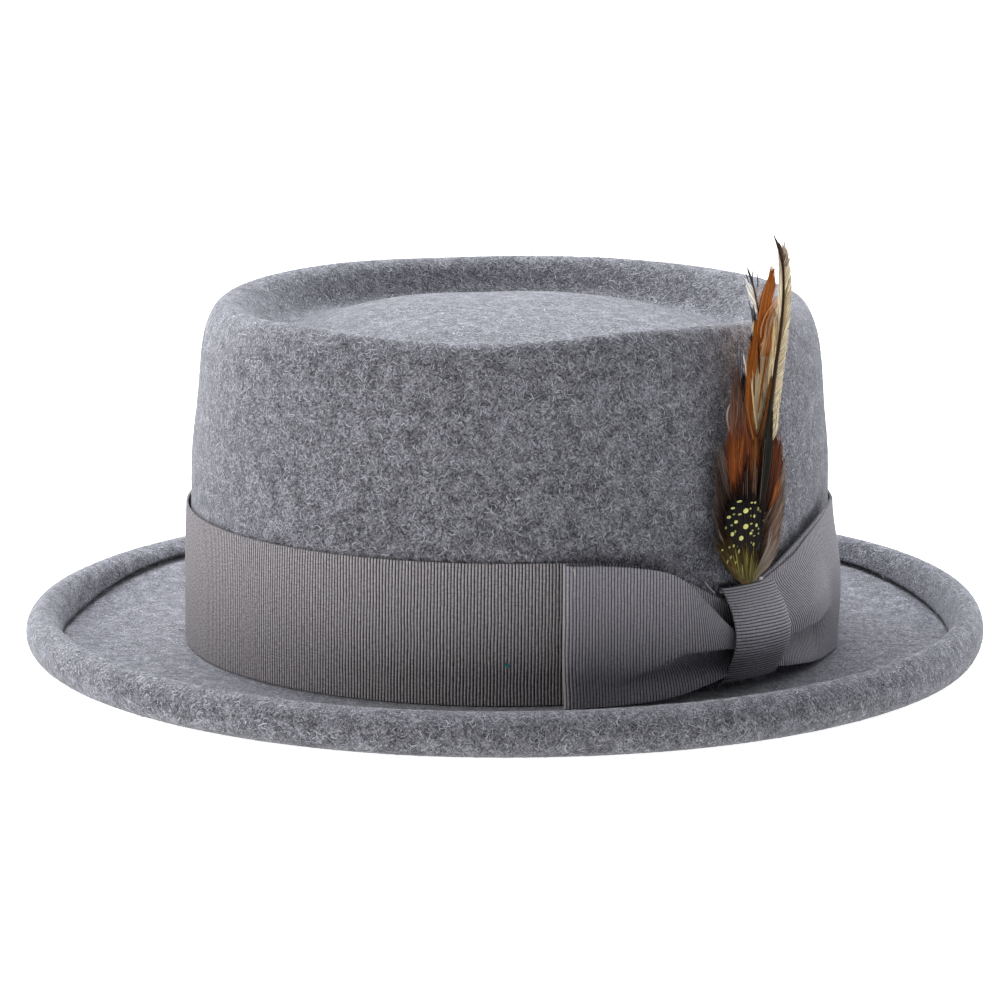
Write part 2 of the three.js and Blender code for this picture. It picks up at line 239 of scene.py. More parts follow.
# Heather felt: two layers of pale strokes, two of dark ones, and soft patches over them all.
# A row of strokes is the way they lie and how fine they are; a row of tones is where it sits.
feltYarn = {
    "strokes": [
        ((0.3, 0.2, 0.1), 2300), ((1.2, 0.5, 2.0), 1900), ((0.6, 1.4, 1.0), 2600), ((2.1, 0.2, 0.9), 2100),
    ],
    "tones": [(0.37, "313135"), (0.45, "525257"), (0.5, "6a6a6f"), (0.56, "85858b"), (0.63, "a9a9b0")],
    "patchScale": 240, "patchShare": 0.45, "bump": 0.55, "bumpDepth": 0.5 * mm,
}


def feltMaterial():
    material, tree, shader = newMaterial("heatherFelt")
    place = addNode(tree, "TexCoord").outputs["Object"]
    strokes = []
    group = fibreGroup()
    for k, (turn, fineness) in enumerate(feltYarn["strokes"]):
        node = addNode(tree, "Group", node_tree=group)
        fillInputs(tree, node, {"Turn": turn, "Fineness": fineness, "Vector": place})
        strokes.append(node.outputs["Value"])
    light = addMath(tree, "MAXIMUM", strokes[0], strokes[1])
    dark = addMath(tree, "MINIMUM", strokes[2], strokes[3])
    blend = addMath(tree, "ADD", light, dark)
    patches = addNode(tree, "TexNoise", {"Scale": feltYarn["patchScale"], "Detail": 3, "Vector": place})
    share = feltYarn["patchShare"]
    soft = addMath(tree, "MULTIPLY_ADD", patches.outputs["Fac"], share, -share / 2)
    value = addMath(tree, "ADD", blend, soft)
    tone = addRamp(tree, feltYarn["tones"], addMath(tree, "MULTIPLY", value, 0.5))
    bump = addNode(tree, "Bump", {
        "Strength": feltYarn["bump"], "Distance": feltYarn["bumpDepth"], "Height": value,
    })
    fillInputs(tree, shader, {
        "Base Color": tone, "Normal": bump.outputs["Normal"], "Roughness": 0.95, "Specular IOR Level": 0.15,
        "Sheen Weight": 0.35, "Sheen Roughness": 0.5, "Sheen Tint": (0.9, 0.92, 1, 1),
    })
    return material


def fibreMaterial(name, sheen):
    # hairs and barbs carry their own tone
    material, tree, shader = newMaterial(name)
    tone = addNode(tree, "Attribute", attribute_name="tone")
    fillInputs(tree, shader, {
        "Base Color": tone.outputs["Color"], "Roughness": 0.75, "Specular IOR Level": 0.08,
        "Sheen Weight": sheen,
    })
    return material


# Ribs of the ribbon run across it, and fine threads run along each rib; the grooves between ribs carry
# painted shade
rib = {
    "pitch": 0.925 * mm, "wanderScale": 90, "wander": 0.6 * mm, "shadeFrom": 0.45, "shadeTo": 0.05,
    "threadsAlong": 700, "threadsAcross": 2200, "threadBump": 0.25, "bump": 0.8, "bumpDepth": 0.28 * mm,
}


def ribGroup():
    inputs = [("Vector", "Vector", None), ("Pitch", "Float", rib["pitch"])]
    group, start, end = addGroup("ribs", inputs, ["Height", "RibShade", "Thread"])
    place = start.outputs["Vector"]
    split = addNode(group, "SeparateXYZ", {0: place}).outputs
    wander = addNode(group, "TexNoise", {"Scale": rib["wanderScale"], "Detail": 3, "Vector": place})
    shift = addMath(group, "MULTIPLY_ADD", wander.outputs["Fac"], rib["wander"], -rib["wander"] / 2)
    moved = addMath(group, "ADD", split["X"], shift)
    turns = addMath(group, "DIVIDE", moved, start.outputs["Pitch"])
    wave = addMath(group, "SINE", addMath(group, "MULTIPLY", turns, 2 * math.pi))
    height = addMath(group, "MULTIPLY_ADD", wave, 0.5, 0.5)
    # painted shade: the groove between two ribs is darkened in colour, where shade would fall
    ribShade = addSmoothRange(group, {
        "From Min": rib["shadeFrom"], "From Max": rib["shadeTo"], "Value": height,
    })
    along = addNode(group, "CombineXYZ", {
        "X": addMath(group, "MULTIPLY", split["X"], rib["threadsAlong"]),
        "Y": addMath(group, "MULTIPLY", split["Y"], rib["threadsAcross"]),
    })
    thread = addNode(group, "TexNoise", {"Scale": 1, "Detail": 2, "Vector": along.outputs[0]})
    fillInputs(group, end, {"Height": height, "RibShade": ribShade, "Thread": thread.outputs["Fac"]})
    return group


def ribbonMaterial(name, ribs, ribShadeTone, threadTones, gloss):
    # painted highlight: the end fold of a loop is painted paler, where light catches it; it lies at zero
    # along the ribbon
    foldHighlight = {"tone": "b4aca8", "share": 0.7, "from": 1.2 * mm, "to": 0.6 * mm}
    material, tree, shader = newMaterial(name)
    coords = addNode(tree, "UVMap", uv_map="ribbonUv").outputs[0]
    node = addNode(tree, "Group", node_tree=ribs)
    fillInputs(tree, node, {"Pitch": rib["pitch"], "Vector": coords})
    woven = node.outputs
    yarn = addRamp(tree, list(zip((0.3, 0.7), threadTones)), woven["Thread"])
    # painted shade: the dark groove tone is mixed into the colour between the ribs
    mixed = addMix(tree, woven["RibShade"], yarn, opaque(ribShadeTone))
    place = addNode(tree, "SeparateXYZ", {0: coords}).outputs["X"]
    foldLit = addSmoothRange(tree, {
        "From Min": foldHighlight["from"], "From Max": foldHighlight["to"], "To Max": foldHighlight["share"],
        "Value": addMath(tree, "ABSOLUTE", place),
    })
    # painted highlight: the paler fold tone is mixed in along the fold line
    tone = addMix(tree, foldLit, mixed, opaque(foldHighlight["tone"]))
    height = addMath(tree, "MULTIPLY_ADD", woven["Thread"], rib["threadBump"], woven["Height"])
    bump = addNode(tree, "Bump", {
        "Strength": rib["bump"], "Distance": rib["bumpDepth"], "Height": height,
    })
    fillInputs(tree, shader, {
        "Base Color": tone, "Normal": bump.outputs["Normal"], "Roughness": 0.62 - 0.1 * gloss,
        "Specular IOR Level": 0.3 - 0.3 * gloss, "Sheen Weight": 0.12 - 0.1 * gloss, "Sheen Roughness": 0.4,
    })
    return material


# Felt cap
felt = {
    "thickness": 2.6, "domeHeight": 101.2, "valleyRadius": 68, "valleyHeight": 92.8, "domeFlat": 55,
    "valleyEase": 9, "valleyRound": 6, "ridgeRound": 6, "ridgeHeight": 103.3, "shoulderRound": 11,
    "breakRadius": 1.6, "breakRise": 1.4, "restWidth": 5, "plateEase": 14, "ridgeHold": 0.4,
    "segments": 288,
}
# turned edge: height and width of the roll, and how each changes round the brim
edge = {
    "front": math.radians(-45), "high": 9.6, "rearGain": 1.8, "wide": 7.6, "frontGain": 2, "outerMost": 0.48,
    "lift": 3.9, "liftTurn": 1.5, "liftFrom": 0.1, "liftOver": 0.55, "lipRise": 2.5,
    "topEase": 0.6, "lipEase": (0.15, 0.45),
}
# fine unevenness all over, as noise that grows from a low height upwards
uneven = {
    "across": 1.6, "upwards": 40, "from": 8, "over": 60, "rise": 0.9, "least": 0.25, "grown": 0.5,
    "finer": 1.7, "apart": Vector((5, 0, 0)),
}
# large waves: the angle each lies at, its spread, the radii between which it grows, its rise and the
# height above which the felt takes part
waves = [
    (-112, 34, 108, 124, 1.0, -1), (72, 38, 108, 124, 1.1, -1), (62, 34, 84, 76, -0.8, 90),
    (-10, 30, 76, 84, 3.6, 88), (-86, 24, 76, 84, 1.6, 88),
]


def bezier(a, b, c, d, steps):
    t = np.linspace(0, 1, steps + 1)[1:, None]
    a, b, c, d = (np.array(p, float) for p in (a, b, c, d))
    return a * (1 - t) ** 3 + 3 * b * t * (1 - t) ** 2 + 3 * c * t * t * (1 - t) + d * t ** 3


def arcLine(centre, radius, start, end, steps):
    t = np.linspace(start, end, steps + 1)[1:]
    return np.stack([centre[0] + radius * np.cos(t), centre[1] + radius * np.sin(t)], -1)


def edgeShape(angle):
    # a full roll towards the front left, a flatter turned-over hem on a raised brim behind
    facing = math.cos(angle - edge["front"])
    behind = smoothShare((-facing - edge["liftFrom"]) / edge["liftOver"])
    lift = behind * (edge["lift"] - edge["liftTurn"] * math.cos(angle))
    half = (edge["high"] + edge["rearGain"] * (0.5 + 0.5 * math.sin(angle)) - lift) / 2
    wide = edge["wide"] + edge["frontGain"] * max(0, facing)
    outer = min(half, edge["outerMost"] * wide)
    return lift, half, outer, wide - outer


def feltLine(angle):
    # middle of the felt at one angle, from the top's centre to the raw edge
    half = felt["thickness"] / 2
    lift, rollHalf, outer, inner = edgeShape(angle)
    dome = (0, felt["domeHeight"] - half)
    valley = (felt["valleyRadius"], felt["valleyHeight"] - half)
    ridge = (shape["ridgeRadius"], felt["ridgeHeight"] - half)
    shoulder = (shape["shoulderRadius"] - half, shape["shoulderHeight"])
    foot = (shape["footRadius"] - half, shape["footHeight"])
    slope = shape["wallBend"] * (shape["footRadius"] - shape["shoulderRadius"])
    slope = slope / (shape["shoulderHeight"] - shape["footHeight"])
    breakHeight = felt["breakRise"] + half
    breakTop = (foot[0], breakHeight + felt["breakRadius"])
    breakEnd = (foot[0] + felt["breakRadius"], breakHeight)
    rest = half + lift
    rollStart = (shape["brimRadius"] - half - outer, rest)
    restStart = (rollStart[0] - felt["restWidth"], rest)
    rollTop = (rollStart[0], rest + 2 * rollHalf)
    lip = (rollStart[0] - inner, rest + edge["lipRise"])
    wallHeights = np.linspace(shoulder[1], foot[1], 15)[1:]
    wall = np.stack([wallRadius(wallHeights) - half, wallHeights], -1)
    turn = np.linspace(-math.pi / 2, math.pi / 2, 15)[1:]
    curl = np.stack([rollStart[0] + outer * np.cos(turn), rest + rollHalf * (1 + np.sin(turn))], -1)
    top = shoulder[1] + felt["shoulderRound"]
    intoValley = (valley[0] - felt["valleyEase"], valley[1])
    outOfValley = (valley[0] + felt["valleyRound"], valley[1])
    intoRidge = (ridge[0] - felt["ridgeRound"], ridge[1])
    hold = felt["ridgeHold"]
    outOfRidge = (ridge[0] * hold + shoulder[0] * (1 - hold), ridge[1])
    intoShoulder = (shoulder[0] - slope * felt["shoulderRound"], top)
    intoRest = (restStart[0] - felt["plateEase"], rest)
    outOfRoll = (rollTop[0] - edge["topEase"] * inner, rollTop[1])
    inward, upward = edge["lipEase"]
    intoLip = (lip[0] + inward * inner, lip[1] + upward * (rollTop[1] - lip[1]))
    return np.concatenate([
        bezier(dome, (felt["domeFlat"], dome[1]), intoValley, valley, 18),
        bezier(valley, outOfValley, intoRidge, ridge, 12),
        bezier(ridge, outOfRidge, intoShoulder, shoulder, 14),
        wall,
        np.linspace(foot, breakTop, 8)[1:],
        arcLine((breakEnd[0], breakTop[1]), felt["breakRadius"], math.pi, 1.5 * math.pi, 4),
        bezier(breakEnd, (breakEnd[0] + felt["plateEase"], breakEnd[1]), intoRest, restStart, 12),
        np.linspace(restStart, rollStart, 3)[1:],
        curl,
        bezier(rollTop, outOfRoll, intoLip, lip, 12),
    ])


def buildFelt(material):
    angles = np.arange(felt["segments"]) * 2 * math.pi / felt["segments"]
    grid = []
    for angle in angles:
        line = feltLine(angle)
        for k, (radius, height) in enumerate(line):
            # hand-shaped felt is never quite even; the resting edge stays true
            x, y = math.cos(angle) * uneven["across"], math.sin(angle) * uneven["across"]
            around = Vector((x, y, height / uneven["upwards"]))
            loose = min(1, max(0, (height - uneven["from"]) / uneven["over"]))
            height += uneven["rise"] * loose * noise.noise(around + uneven["apart"])
            swell = uneven["least"] + uneven["grown"] * loose
            radius += swell * noise.noise(around * uneven["finer"])
            for facing, spread, start, end, rise, above in waves:
                turn = math.remainder(math.degrees(angle) - facing, 360) / spread
                share = min(1, max(0, (radius - start) / (end - start)))
                if height > above:
                    height += rise * share * math.exp(-turn * turn)
            line[k] = (radius, height)
        grid.append(hatPoint(angle, line[:, 0], line[:, 1]))
    grid = np.array(grid)
    segments, columns = grid.shape[:2]
    centre = np.array([[0, shape["setBack"] * mm, (felt["domeHeight"] - felt["thickness"] / 2) * mm]])
    points = np.concatenate([grid.reshape(-1, 3), centre])
    faces = gridFaces(segments, columns, True)[:, ::-1].tolist()
    pole = len(points) - 1
    faces += [[pole, i * columns, ((i + 1) % segments) * columns] for i in range(segments)]
    obj = makeMesh("felt_cap", points, faces)
    thicken(obj, felt["thickness"], True)
    faceOut(obj)
    bpy.ops.object.shade_smooth()
    settle(obj, material, "felt_body")
    return obj


feltLook = feltMaterial()
cap = buildFelt(feltLook)
print("felt cap", len(cap.data.polygons))


# Loose fibres that lie on the felt, strewn by area
def readTriples(items, key, kind):
    values = np.zeros(len(items) * 3, kind)
    items.foreach_get(key, values)
    return values.reshape(-1, 3)


def strewFibres(body, spec, material):
    rng = np.random.default_rng(spec["seed"])
    mesh = body.data
    mesh.calc_loop_triangles()
    corners = readTriples(mesh.loop_triangles, "vertices", np.int32)
    co = readTriples(mesh.vertices, "co", np.float32).astype(float)
    vn = readTriples(mesh.vertices, "normal", np.float32).astype(float)
    a, b, c = (co[corners[:, k]] for k in range(3))
    area = np.linalg.norm(np.cross(b - a, c - a), axis=1)
    middle = (a + b + c) / 3
    facing = vn[corners].sum(1)
    inward = (facing * middle * [1, 1, 0]).sum(1) < 0
    within = np.hypot(middle[:, 0], middle[:, 1]) < inside["radius"]
    hidden = within & (inward & (middle[:, 2] < inside["height"]) | (facing[:, 2] < inside["down"]))
    area = np.where(hidden, area * inside["share"], area)
    count = spec["count"]
    pick = rng.choice(len(corners), count, p=area / area.sum())
    u, v = rng.random((2, count, 1))
    flip = (u + v) > 1
    u, v = np.where(flip, 1 - u, u), np.where(flip, 1 - v, v)
    at = a[pick] + u * (b - a)[pick] + v * (c - a)[pick]
    normal = vn[corners[pick, 0]] * (1 - u - v) + vn[corners[pick, 1]] * u + vn[corners[pick, 2]] * v
    normal /= np.linalg.norm(normal, axis=1, keepdims=True)
    along = rng.normal(size=(count, 3))
    along -= (along * normal).sum(1, keepdims=True) * normal
    along /= np.linalg.norm(along, axis=1, keepdims=True)
    side = np.cross(normal, along)
    length, width, lift = (rng.uniform(*spec[key], (count, 1)) * mm for key in ("length", "width", "lift"))
    bend = rng.normal(0, spec["bend"], (count, 1)) * length
    tilt = rng.uniform(*spec["tilt"], (count, 1)) * length
    # six points: two tips, and two stations where the strand is widest
    first = at - along * length / 2 - normal * 0.05 * mm
    last = at + along * length / 2 + normal * tilt
    near = at - along * length / 6 + side * bend + normal * lift
    far = at + along * length / 6 + side * bend + normal * lift
    half = side * width / 2
    points = np.stack([first, near + half, near - half, far + half, far - half, last], 1).reshape(-1, 3)
    start = np.arange(count)[:, None] * 6
    faces = [face for turn in ([0, 2, 1], [1, 2, 4, 3], [3, 4, 5]) for face in (start + turn).tolist()]
    tone = blendTones(spec["tones"], rng.random((count, 1)) ** spec["gamma"])
    tones = np.repeat(np.concatenate([tone, np.ones((count, 1))], 1), 6, 0)
    settle(makeMesh(spec["name"], points, faces, tones=tones), material)


# few hairs are spent on the hollow and on the crown's underside
inside = {"radius": 0.128, "height": 0.09, "down": -1.5, "share": 0.04}
hairLook = fibreMaterial("feltHairs", 0.3)
# lengths in millimetres; bend and tilt are shares of a hair's length
fibreColumns = ("name", "seed", "count", "length", "width", "lift", "bend", "tilt", "tones", "gamma")
fibres = [
    ("felt_hairs_light", 11, 48000, (1.2, 3.4), (0.12, 0.24), (0.02, 0.12), 0.28, (-0.02, 0.05),
     ("78787e", "c4c5cd"), 1.6),
    ("felt_hairs_grey", 17, 40000, (1.0, 3.0), (0.12, 0.22), (0.02, 0.10), 0.28, (-0.02, 0.04),
     ("626267", "a8a8af"), 1.2),
    ("felt_hairs_dark", 23, 35000, (0.9, 2.6), (0.16, 0.32), (0.02, 0.08), 0.22, (-0.02, 0.02),
     ("2e2e32", "626266"), 1.0),
    ("felt_fuzz", 37, 8000, (0.6, 1.6), (0.03, 0.05), (0.15, 0.45), 0.2, (0.1, 0.6),
     ("9a9aa2", "c8c8d0"), 1.0),
]
for row in fibres:
    strewFibres(cap, dict(zip(fibreColumns, row)), hairLook)
print("felt hairs")


# Ribbon pieces
ribbon = {"width": 40, "thickness": 0.6, "bandOut": 1.05, "bottom": 4.4, "bowOut": 2.9}
ribs = ribGroup()
# the third value is the painted shade tone for the grooves between ribs
bandLook = ribbonMaterial("bandRibbon", ribs, "1f1d1f", ("878386", "bbb7b9"), 1)
bowLook = ribbonMaterial("bowRibbon", ribs, "403d42", ("8a888e", "adaab1"), 0.2)


def ribbonPiece(name, nodeName, look, grid, along, across):
    # along and across are the points' places on the flat ribbon
    uvs = np.stack(np.broadcast_arrays(along, across * mm), -1)
    faces = gridFaces(*grid.shape[:2], False)
    obj = makeMesh(name, grid.reshape(-1, 3), faces, uvs=uvs.reshape(-1, 2))
    thicken(obj, ribbon["thickness"], False)
    faceOut(obj)
    bpy.ops.object.shade_smooth_by_angle(angle=math.radians(50))
    settle(obj, look, nodeName)


# Band round the crown, drawn together behind the knot
band = {
    "pinchDepth": 15, "pinchRise": 5, "pinchAngle": math.radians(15.5), "segments": 480, "columns": 22,
    "length": 0.61,
}


def buildBand():
    # the seam is at the back, away from the bow, and its last row lies on the first
    angles = np.linspace(-math.pi, math.pi, band["segments"] + 1)[:, None]
    across = np.linspace(0, 1, band["columns"])[None, :]
    pinch = np.exp(-((angles / band["pinchAngle"]) ** 2))
    low = ribbon["bottom"] + band["pinchRise"] * pinch
    high = ribbon["bottom"] + ribbon["width"] - band["pinchDepth"] * pinch
    height = low + (high - low) * across
    grid = wallPoint(angles + 0 * height, height, ribbon["bandOut"])
    grid[-1] = grid[0]
    ribbonPiece(
        "ribbon_band", "hat_band", bandLook, grid, angles * shape["footRadius"] * mm,
        across * ribbon["width"],
    )


buildBand()
print("band")

# Bow. A row is one section along a loop: from its back layer at the knot, round the end fold and
# back along the front layer. reach is a share of the loop's angle, out of puff, low and high of
# the ribbon's width. groove is the share of out that the crease takes away, and crease where it
# lies across the ribbon. length is the loop's flat length in metres.
bow = {
    "puff": 7.2, "leastOut": 0.05, "endGap": 0.8, "steps": 180, "columns": 48,
    "creaseWidth": 0.07, "hemShare": 0.3,
}
loopColumns = ("reach", "out", "low", "high", "groove", "crease")
frontLoop = {
    "angle": math.radians(34.2), "side": -1, "topSlant": 0, "lowSlant": 0.01, "topClose": 0, "length": 0.122,
    "rows": [
        (0, 0, 0.16, 0.58, 0, 0.5),
        (0.2, 0.04, 0.11, 0.68, 0, 0.5),
        (0.42, 0.04, 0.04, 0.85, 0, 0.5),
        (0.7, 0.03, 0.01, 0.96, 0, 0.3),
        (0.97, 0.1, 0, 1, 0, 0.2),
        (1, 0.27, -0.01, 1.01, 0, 0.2),
        (0.97, 0.44, 0, 1, 0, 0.2),
        (0.76, 0.42, 0, 0.98, 0.1, 0.2),
        (0.54, 0.66, 0.02, 0.93, 0.45, 0.28),
        (0.42, 0.82, 0.045, 0.84, 0.8, 0.38),
        (0.3, 0.92, 0.085, 0.655, 1, 0.46),
        (0.16, 0.86, 0.13, 0.46, 1, 0.61),
        (0, 0.66, 0.16, 0.36, 1, 0.7),
    ],
}
rearLoop = {
    "angle": math.radians(36.5), "side": 1, "topSlant": 0.15, "lowSlant": 0.09, "topClose": 0.88,
    "length": 0.126,
    "rows": [
        (0, 0, 0.16, 0.71, 0, 0.4),
        (0.2, 0, 0.11, 0.8, 0, 0.4),
        (0.42, 0, 0.05, 0.92, 0, 0.4),
        (0.7, 0, 0.02, 1.035, 0, 0.4),
        (0.98, 0, 0, 1.115, 0, 0.4),
        (1, 0.1, 0, 1.12, 0, 0.4),
        (0.98, 0.19, 0, 1.11, 0, 0.4),
        (0.74, 0.26, 0.02, 1.025, 0.1, 0.38),
        (0.54, 0.6, 0.04, 0.945, 1, 0.37),
        (0.38, 0.8, 0.07, 0.855, 1, 0.36),
        (0.17, 0.72, 0.11, 0.765, 0.4, 0.32),
        (0, 0.56, 0.15, 0.68, 0.2, 0.3),
    ],
}


def alongRows(rows, names, shares):
    # a smooth curve through each named column of a table
    values = np.array(rows, float)
    place = shares * (len(values) - 1)
    i = np.clip(place.astype(int), 0, len(values) - 2)
    t = (place - i)[:, None]
    p0, p1 = values[np.maximum(i - 1, 0)], values[i]
    p2, p3 = values[i + 1], values[np.minimum(i + 2, len(values) - 1)]
    v0, v1 = (p2 - p0) / 2, (p3 - p1) / 2
    cubic, square = 2 * p1 - 2 * p2 + v0 + v1, 3 * p2 - 3 * p1 - 2 * v0 - v1
    curve = cubic * t ** 3 + square * t ** 2 + v0 * t + p1
    return {name: curve[:, k:k + 1] for k, name in enumerate(names)}


def arcLengths(grid, startRow):
    steps = np.linalg.norm(np.diff(grid, axis=0), axis=-1)
    total = np.concatenate([np.zeros((1, grid.shape[1])), np.cumsum(steps, 0)])
    return total - total[startRow]


def creaseDip(across, crease):
    # steep under the upper bulge, easing out again towards the lower edge
    floor = crease - bow["creaseWidth"]
    fall = smoothShare((crease - across) / bow["creaseWidth"])
    ease = bow["hemShare"] + (1 - bow["hemShare"]) * smoothShare(across / floor)
    return fall * np.where(across < floor, ease, 1)


def buildLoop(name, loop, nodeName):
    shares = np.linspace(0, 1, bow["steps"])
    across = np.linspace(0, 1, bow["columns"])[None, :]
    value = alongRows(loop["rows"], loopColumns, shares)
    slant = loop["topSlant"] * smoothShare((across - 0.3) / 0.7)
    slant = slant + loop["lowSlant"] * smoothShare(1 - across / 0.35)
    angle = value["reach"] * loop["angle"] * (1 - slant)
    angle = loop["side"] * (angle + bow["endGap"] / shape["footRadius"])
    rise = value["low"] + (value["high"] - value["low"]) * across
    dip = 1 - np.clip(value["groove"], 0, 1) * creaseDip(across, value["crease"])
    dip = dip * (1 - loop["topClose"] * smoothShare((across - 0.5) / 0.45))
    out = ribbon["bowOut"] + np.maximum(bow["puff"] * value["out"], bow["leastOut"]) * dip
    height = ribbon["bottom"] + ribbon["width"] * rise
    grid = wallPoint(angle + 0 * height, height, out)
    fold = int(np.argmax(value["reach"]))
    ribbonPiece(
        name, nodeName, bowLook, grid, arcLengths(grid, fold),
        across * ribbon["width"],
    )


buildLoop("bow_loop_front", frontLoop, "bow_front_loop")
buildLoop("bow_loop_rear", rearLoop, "bow_rear_loop")
print("bow loops")

# Knot: a short wrap over the loops' waist. out is a share of bulge, rise of the knot's height,
# front and rear are shares of half the width. length is the wrap's flat length in metres.
knotColumns = ("out", "rise", "front", "rear")
knot = {
    "length": 0.042,
    "width": 21, "bulge": 9.4, "top": 33.2, "bottom": 7, "steps": 90, "columns": 30, "round": 1.0,
    "rows": [
        (0, 0.95, 0.87, 1),
        (0.08, 1, 0.87, 1),
        (0.38, 0.9, 0.9, 0.95),
        (0.68, 0.79, 0.95, 0.88),
        (0.92, 0.63, 0.98, 0.84),
        (1.01, 0.51, 1, 0.82),
        (0.95, 0.38, 1, 0.82),
        (0.74, 0.22, 1, 0.86),
        (0.48, 0.07, 1, 0.92),
        (0.26, 0, 1, 0.95),
        (0.05, 0.04, 1, 0.95),
    ],
}


def buildKnot():
    shares = np.linspace(0, 1, knot["steps"])
    across = np.linspace(-0.5, 0.5, knot["columns"])[None, :]
    value = alongRows(knot["rows"], knotColumns, shares)
    height = knot["bottom"] + (knot["top"] - knot["bottom"]) * value["rise"] + 0 * across
    side = across * knot["width"] * np.where(across < 0, value["front"], value["rear"])
    out = ribbon["bowOut"] + knot["bulge"] * value["out"] - knot["round"] * (2 * np.abs(across)) ** 5
    grid = wallPoint(side / shape["footRadius"], height, out)
    ribbonPiece(
        "bow_wrap", "bow_knot", bowLook, grid, arcLengths(grid, 0), (across + 0.5) * knot["width"],
    )


buildKnot()
print("knot")

# Feathers. A row is a sheaf, a fan of barbs: each barb starts on the root line and ends on the tip
# line. Lines are points (y, z) against the crown, in millimetres. near and far are how far off the
# feather's layer the barbs run. bend is a sideways bow as a share of their length, or the line that
# their middles lie on, and ragged is how unlike their lengths are.
sheafColumns = ("count", "width", "near", "far", "rootTone", "tipTone", "root", "tip", "bend", "ragged")
rust = [
    (230, 0.34, 0.5, 1, "332822", "5a4c44", [(-0.1, 32.7), (-1.6, 37), (-3.2, 45.9), (-2.7, 57.8)],
     [(-8.8, 41.5), (-11.1, 52.1), (-11.3, 62.6), (-10.1, 73)], 0.1, 0.12),
    (80, 0.28, 0.9, 1.3, "281e1a", "3c2e28", [(-2.1, 36.2), (-4.6, 45.3), (-4.9, 53.9)],
     [(-9.9, 47.5), (-11.5, 59), (-11.4, 68.9)], 0.12),
    (250, 0.32, 0.5, 1.1, "4c3c32", "8c7868", [(2.8, 31.7), (4.4, 34.3), (5.6, 41.7), (7.2, 52.1)],
     [(10.7, 37.4), (14, 44.4), (15.5, 54.5), (15, 66.7)], -0.11, 0.13),
    (80, 0.26, 1.1, 1.4, "5c4438", "9c8474", [(4.2, 33.8), (5.4, 40.6), (7.2, 49)],
     [(11.1, 40.9), (14, 49.7), (14.6, 59.9)], -0.12, 0.13),
    (420, 0.32, 1, 1.4, "3a1a0e", "6e3a1e", [(-4.6, 54.8), (-0.4, 54.2), (5.3, 54.5)],
     [(-8.7, 72.3), (-7.4, 77.8), (-4.9, 81.5), (-1.1, 80.4), (2.6, 76), (5.2, 73.3)], 0.03),
    # painted highlight: a sheaf of brighter strands laid over the rust body
    (60, 0.24, 1.4, 1.6, "6a3010", "94542a", [(-6.5, 58.5), (-3.2, 60.3)],
     [(-7.9, 72.3), (-5.8, 75.4), (-2.4, 77.2)], 0.06),
    (60, 0.24, 1.4, 1.6, "40200f", "80492a", [(-0.8, 57.7), (3.3, 57.1)],
     [(-1.2, 75.4), (2.8, 73.1), (4.5, 70.6)], 0.02),
    (120, 0.3, 1, 1.3, "20150f", "4c2c1e", [(4.6, 53.4), (8.1, 52.9)],
     [(8, 68.9), (10.2, 70.3), (12.7, 63.6)], -0.04, 0.2),
    (110, 0.36, 0.9, 1.3, "3a2018", "6e3c26", [(7.6, 54.7), (9.4, 53.8)],
     [(10.2, 72), (12.5, 72.8), (14.6, 66.2)], -0.06),
    # painted highlight: a thin streak of brighter strands on the rust body
    (30, 0.24, 1.5, 1.7, "70381a", "a8683c", [(7.9, 53.8), (8.8, 53.7)],
     [(10.8, 60.6), (12.6, 62.3), (12.7, 58.5)], -0.1),
    (150, 0.26, 1.1, 1.6, "6c3a22", "6e5448", [(-7.1, 73.8), (-3.4, 75.1), (0.9, 74.5)],
     [(-7.7, 84.7), (-7.1, 89.7), (-5.7, 92.9), (-4.2, 90.4), (-2.2, 87.4), (-0.5, 83.2)], 0.04),
    (22, 0.2, 0.8, 1.2, "5a3028", "5a4444", [(-6.9, 78.3), (-3.9, 79.3)],
     [(-6.8, 91.8), (-5.9, 97.9), (-4.3, 94.4), (-3.5, 90.9)], 0.02),
    (9, 0.22, 0.6, 0.9, "5a3c3a", "4a5468", [(-5.4, 86), (-2.7, 85.7)],
     [(-5.9, 100.1), (-4.6, 100.6), (-3.1, 99.8)]),
    (34, 0.34, 1, 1.4, "40241a", "2a2022", [(-3.9, 84.2), (-1.9, 83.9)],
     [(-4.4, 91), (-3, 93.7), (-1.8, 93)]),
    (4, 0.22, 1.4, 1.6, "8a7468", "c0b0a6", [(-8, 77.9), (-7.7, 78.5)], [(-8.4, 85.6), (-8, 85.8)],
     [(-9.2, 82.3), (-8.7, 82.5)]),
    (3, 0.26, 1.6, 1.7, "8a6450", "a88c78", [(-6.4, 78.9), (-6, 78.8)], [(-6.2, 87.3), (-5.8, 87)],
     [(-5.7, 83.1), (-5.4, 83.3)]),
    (9, 0.13, 0.8, 1.4, "6a5852", "8c7c7a", [(-8.4, 62.6), (-7.7, 64.2)],
     [(-11.5, 71.5), (-10.5, 74.2), (-9.7, 72.4)], 0.12),
    (130, 0.3, 1.6, 1.8, "16110f", "341c12", [(-4.6, 51.4), (-0.8, 50.9), (5.7, 51)],
     [(-7.1, 62), (-3.9, 65.5), (-0.4, 66.8), (3.6, 65.1), (6.7, 61.2)], 0, 0.2),
]
